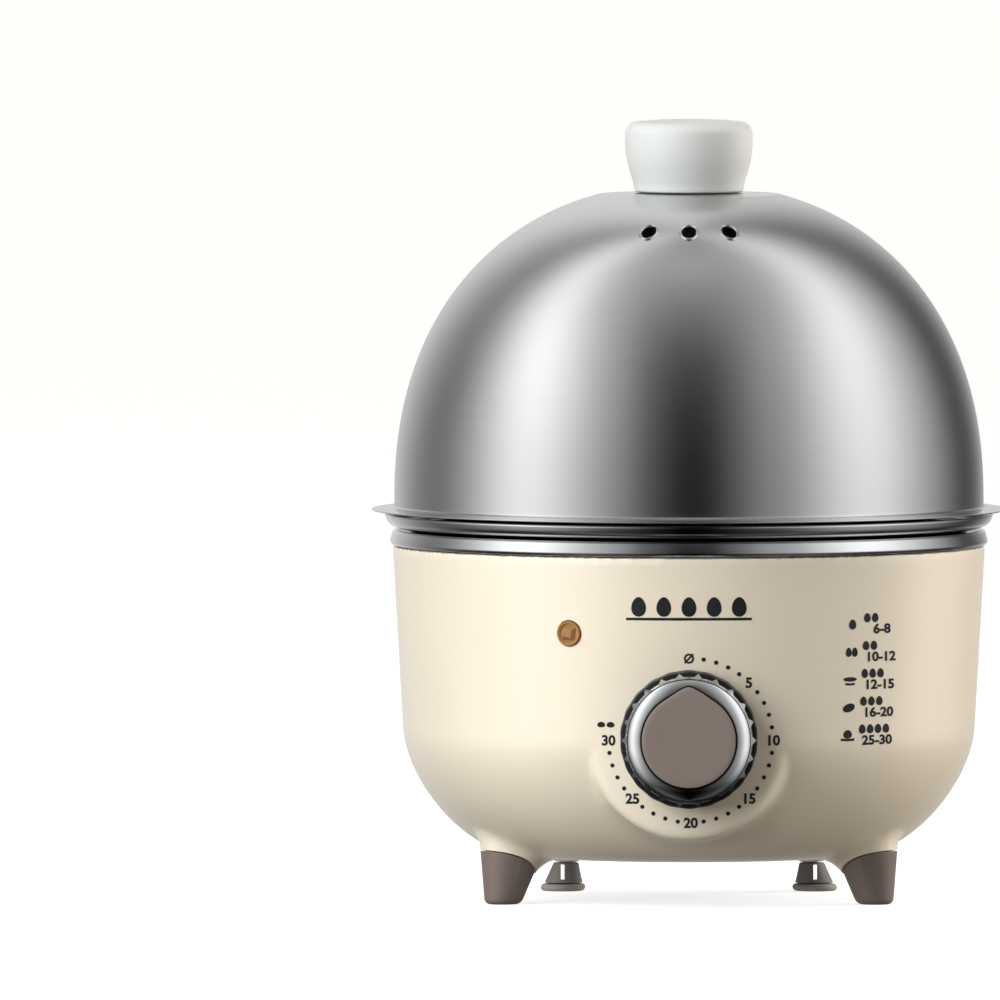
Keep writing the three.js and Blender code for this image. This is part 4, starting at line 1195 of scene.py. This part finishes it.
def makeBezel():
    seat, outer = dial["seat"], dial["bezelRadius"]
    crown = rounded([(0, seat), (outer - 0.2, seat, 0.2), (outer, seat + 1.0, 0.7),
                     (outer - 0.9, seat + 2.6, 1.6), (outer - 2.4, seat + 3.8, 1.6), (13.7, seat + 4.5, 0.7),
                     (12.2, seat + 4.6), (0, seat + 4.6)], 9, isClosed=False)
    ring = turned(crown, 224, "bezel")
    reach = outer + dial["tooth"]
    slope = turned([(0, seat + 0.1), (reach, seat + 0.1), (reach, seat + 0.35), (outer - 0.6, seat + 2.4),
                    (0, seat + 2.4)], 224, "slope")

    def teeth(angle):
        step = (angle * dial["ribs"] / (2 * math.pi)) % 1
        return outer - 0.5 + (dial["tooth"] + 0.6) * max(0.0, 1 - abs(step - 0.5) / dial["toothHalf"])
    star = stacked([aroundDial(teeth, z, dial["ribs"] * 24) for z in (seat - 1, seat + 4)], "star")
    combine(ring, "UNION", combine(slope, "INTERSECT", star))  # small sloping points round the outer edge
    well = stacked([aroundDial(lambda a: capEdge(a) + dial["groove"], z, 360) for z in (seat - 2, seat + 6)],
                   "well")
    combine(ring, "DIFFERENCE", well)
    return finished(moved(ring, dialFrame), "chrome_bezel", "knob_bezel", 32)


def makeCap():
    seat, front = dial["seat"], dial["capFront"]
    levels = [(seat, 0.05), (front - 0.6, 0), (front - 0.3, 0.06), (front - 0.1, 0.18), (front, 0.42),
              (front, 1.6), (front - 0.05, 5.5)]
    rings = [aroundDial(lambda a, cut=inset: capEdge(a) - cut, z, 240) for z, inset in levels]
    return finished(moved(stacked(rings, "cap"), dialFrame), "pointer_cap", "knob_cap", 35)


makeSkirt()
makeBezel()
makeCap()
print("dial knob made")

# ---- indicator lens ----

lens = {"radius": 3.4, "rimOut": 0.7, "rimWidth": 0.75, "tableOut": 1.3, "tableHalf": 1.05}


def makeLens():
    inside = lens["radius"] - lens["rimWidth"]
    outer, front = lens["radius"], lens["rimOut"]
    outline = rounded([
        (0, -5), (2.4, -5, 0.2), (2.4, -3.6), (outer, -2.6, 0.2), (outer, front - 0.2, 0.3),
        (outer - 0.3, front, 0.3), (inside, front - 0.35, 0.2), (inside - 0.2, front - 0.6, 0.1),
        (0, front - 0.6),
    ], isClosed=False)
    body = turned(outline, 64, "lens")
    jewel = turned([(0, -1), (inside + 0.4, -1), (inside + 0.4, front - 0.9),
                    (lens["tableHalf"] * 1.41, lens["tableOut"]), (0, lens["tableOut"] + 0.12)], 4, "jewel")
    moved(jewel, Matrix.Rotation(math.radians(38), 4, "Z"))  # cut square, and set a little askew
    combine(jewel, "INTERSECT", bar(inside + 0.05, -2, 3, sides=64))
    combine(body, "UNION", jewel)
    return finished(moved(body, lampFrame), "faceted_lens", "lamp_lens", 12)


makeLens()
print("lens made")

# ---- printed marks, laid on the wall as a thin film of ink ----

ink = {"proud": 0.07, "sunk": 0.06, "ringRadius": 22.9, "ringShift": (0.5, -0.6), "dot": 0.6, "digits": 2.8,
       "weight": 0.05}
shelf = {"z": 82.3, "half": 17.5, "stroke": 0.75, "eggs": 5, "apart": 7, "eggZ": 85.7, "egg": (2.05, 2.75)}
guide = {"top": 80.2, "rowDown": 7.77, "left": 45.6, "rowLeft": 0.35, "digits": 2.6, "egg": (0.92, 1.3),
         "eggsRight": 4.1, "eggsUp": 1.75, "eggsApart": 2.2, "digitsRight": 8.2, "digitsDown": 1.3}


def fan(x, z, edge):  # a flat shape, cut like a cake from its middle
    return [(x, z)] + edge, [(0, 1 + i, 1 + (i + 1) % len(edge)) for i in range(len(edge))]


def disc(x, z, wide, tall=None, turn=0.0, sides=20):
    tall = wide if tall is None else tall
    edge = []
    for i in range(sides):
        angle = 2 * math.pi * i / sides
        a, b = wide * math.cos(angle), tall * math.sin(angle)
        edge.append((x + a * math.cos(turn) - b * math.sin(turn),
                     z + a * math.sin(turn) + b * math.cos(turn)))
    return fan(x, z, edge)


def stroke(points, width, isLoop=False):
    verts, faces = [], []
    count = len(points)
    for i, (x, z) in enumerate(points):
        if isLoop:
            before, after = points[i - 1], points[(i + 1) % count]
        else:
            before, after = points[max(i - 1, 0)], points[min(i + 1, count - 1)]
        along = Vector((after[0] - before[0], after[1] - before[1])).normalized()
        side = Vector((-along.y, along.x)) * width / 2
        verts += [(x + side.x, z + side.y), (x - side.x, z - side.y)]
    for i in range(count if isLoop else count - 1):
        j = (i + 1) % count
        faces.append((2 * i, 2 * i + 1, 2 * j + 1, 2 * j))
    return verts, faces


def oval(x, z, wide, tall, width):
    angles = [2 * math.pi * i / 36 for i in range(36)]
    return stroke([(x + wide * math.cos(a), z + tall * math.sin(a)) for a in angles], width, True)


def egg(x, z, wide, tall, sides=28):  # solid, with its narrow end up
    angles = [2 * math.pi * i / sides for i in range(sides)]
    return fan(x, z, [(x + wide * math.cos(a) * (1 - 0.14 * math.sin(a)), z + tall * math.sin(a))
                      for a in angles])


def digits(words, x, z, height):
    curve = bpy.data.curves.new("digits", "FONT")
    curve.body = words
    curve.size = height / 0.72
    curve.align_x = "CENTER"
    curve.offset = ink["weight"] * height
    curve.resolution_u = 4
    holder = bpy.data.objects.new("digits", curve)
    scene.collection.objects.link(holder)
    bpy.context.view_layer.update()
    mesh = bpy.data.meshes.new_from_object(holder.evaluated_get(bpy.context.evaluated_depsgraph_get()))
    form = bmesh.new()
    form.from_mesh(mesh)
    bmesh.ops.remove_doubles(form, verts=form.verts, dist=0.002)
    bmesh.ops.dissolve_degenerate(form, edges=form.edges, dist=0.002)
    verts = [(v.co.x + x, v.co.y + z - height / 2) for v in form.verts]
    faces = [tuple(v.index for v in face.verts) for face in form.faces]
    form.free()
    bpy.data.objects.remove(holder)
    return verts, faces


def printed(name, shapes):
    verts, faces = [], []
    for points, flats in shapes:
        start, count = len(verts), len(points)
        for out in (ink["proud"], -ink["sunk"]):
            for x, z in points:
                onPad = math.hypot(x, z - dialZ) < shell["padRadius"]
                radius = (wallRadius(z) if onPad else float(bodyRadius(z))) + out
                verts.append((x, -math.sqrt(radius * radius - x * x), z))
        edges = {}
        for face in flats:
            for a, b in zip(face, face[1:] + face[:1]):
                edges[(a, b)] = edges.get((b, a), 0) + 1
        for face in flats:
            faces.append(tuple(start + i for i in face))
            faces.append(tuple(start + count + i for i in reversed(face)))
        for a, b in edges:
            if (b, a) not in edges:
                faces.append((start + b, start + a, start + count + a, start + count + b))
    return finished(newObject(name, verts, faces), name, None, 20, "base", "knob_black")


def dialMarks():
    shapes = []
    ring = ink["ringRadius"]
    midX, midZ = ink["ringShift"][0], dialZ + ink["ringShift"][1]
    for k in range(7):
        angle = math.radians(90 - 45 * k)
        if k:
            x, z = midX + ring * math.cos(angle), midZ + ring * math.sin(angle)
            shapes.append(digits(str(5 * k), x, z, ink["digits"]))
        if k == 6:
            break
        for step in range(1, 5):
            between = angle - math.radians(9 * step)
            shapes.append(disc(midX + ring * math.cos(between), midZ + ring * math.sin(between), ink["dot"]))
    top = midZ + ring
    shapes.append(oval(0, top, 1.15, 1.15, width=0.55))  # off: a ring crossed by a bar
    shapes.append(stroke([(-1.2, top - 1.3), (1.2, top + 1.3)], 0.5))
    hintX, hintZ = midX - ring - 0.7, midZ + 4.3  # start here: two small eggs
    shapes.append(egg(hintX - 1.3, hintZ, 1.1, 0.8))
    shapes.append(egg(hintX + 1.3, hintZ, 1.1, 0.8))
    return printed("dial_marks", shapes)


def frontMark():  # a row of eggs on a shelf
    line = [(-shelf["half"] + shelf["apart"] / 2 * k, shelf["z"]) for k in range(11)]
    shapes = [stroke(line, shelf["stroke"])]
    for k in range(shelf["eggs"]):
        shapes.append(egg(shelf["apart"] * (k - 2), shelf["eggZ"], *shelf["egg"]))
    return printed("front_mark", shapes)


def saucer(x, z, half, width):
    return stroke([(x - half, z - 1.1), (x, z - 1.2), (x + half, z - 1.1)], width)


def timingGuide():  # five rows: an icon, how many eggs, and the minutes they take
    shapes = []
    minutes = ("6-8", "10-12", "12-15", "16-20", "25-30")
    for k, label in enumerate(minutes):
        z = guide["top"] - guide["rowDown"] * k
        x = guide["left"] - guide["rowLeft"] * k
        if k == 0:
            shapes += [egg(x, z, 1.0, 1.4)]
        elif k == 1:
            shapes += [egg(x - 0.75, z, 0.8, 1.3), egg(x + 0.95, z, 0.8, 1.3)]
        elif k == 2:
            shapes += [disc(x, z + 0.2, 1.9, 0.62), saucer(x, z, 1.3, 0.6)]
        elif k == 3:
            shapes += [disc(x, z, 1.75, 1.15, 0.4)]
        else:
            shapes += [saucer(x, z, 1.9, 0.7), egg(x, z + 0.4, 1.2, 1.2)]
        for i in range((2, 2, 3, 3, 4)[k]):
            eggX = x + guide["eggsRight"] + guide["eggsApart"] * i
            shapes.append(egg(eggX, z + guide["eggsUp"], *guide["egg"]))
        shapes.append(digits(label, x + guide["digitsRight"], z - guide["digitsDown"], guide["digits"]))
    return printed("timing_guide", shapes)


dialMarks()
frontMark()
timingGuide()
print("marks printed")

# ---- inner pieces kept from the frame ----

kept = 0
for node, piece in frame["nodes"].items():
    if piece.hide_render:
        continue
    piece.data.materials.clear()
    piece.data.materials.append(finishes[slotOf[node]])
    if node.startswith("wire_"):
        shadeSmooth(piece, 60)
        smooth = piece.modifiers.new("round", "SUBSURF")
        smooth.levels = smooth.render_levels = 1
    else:
        addBevel(piece, 0.18, 2)
    kept += 1
print("kept from the frame:", kept)
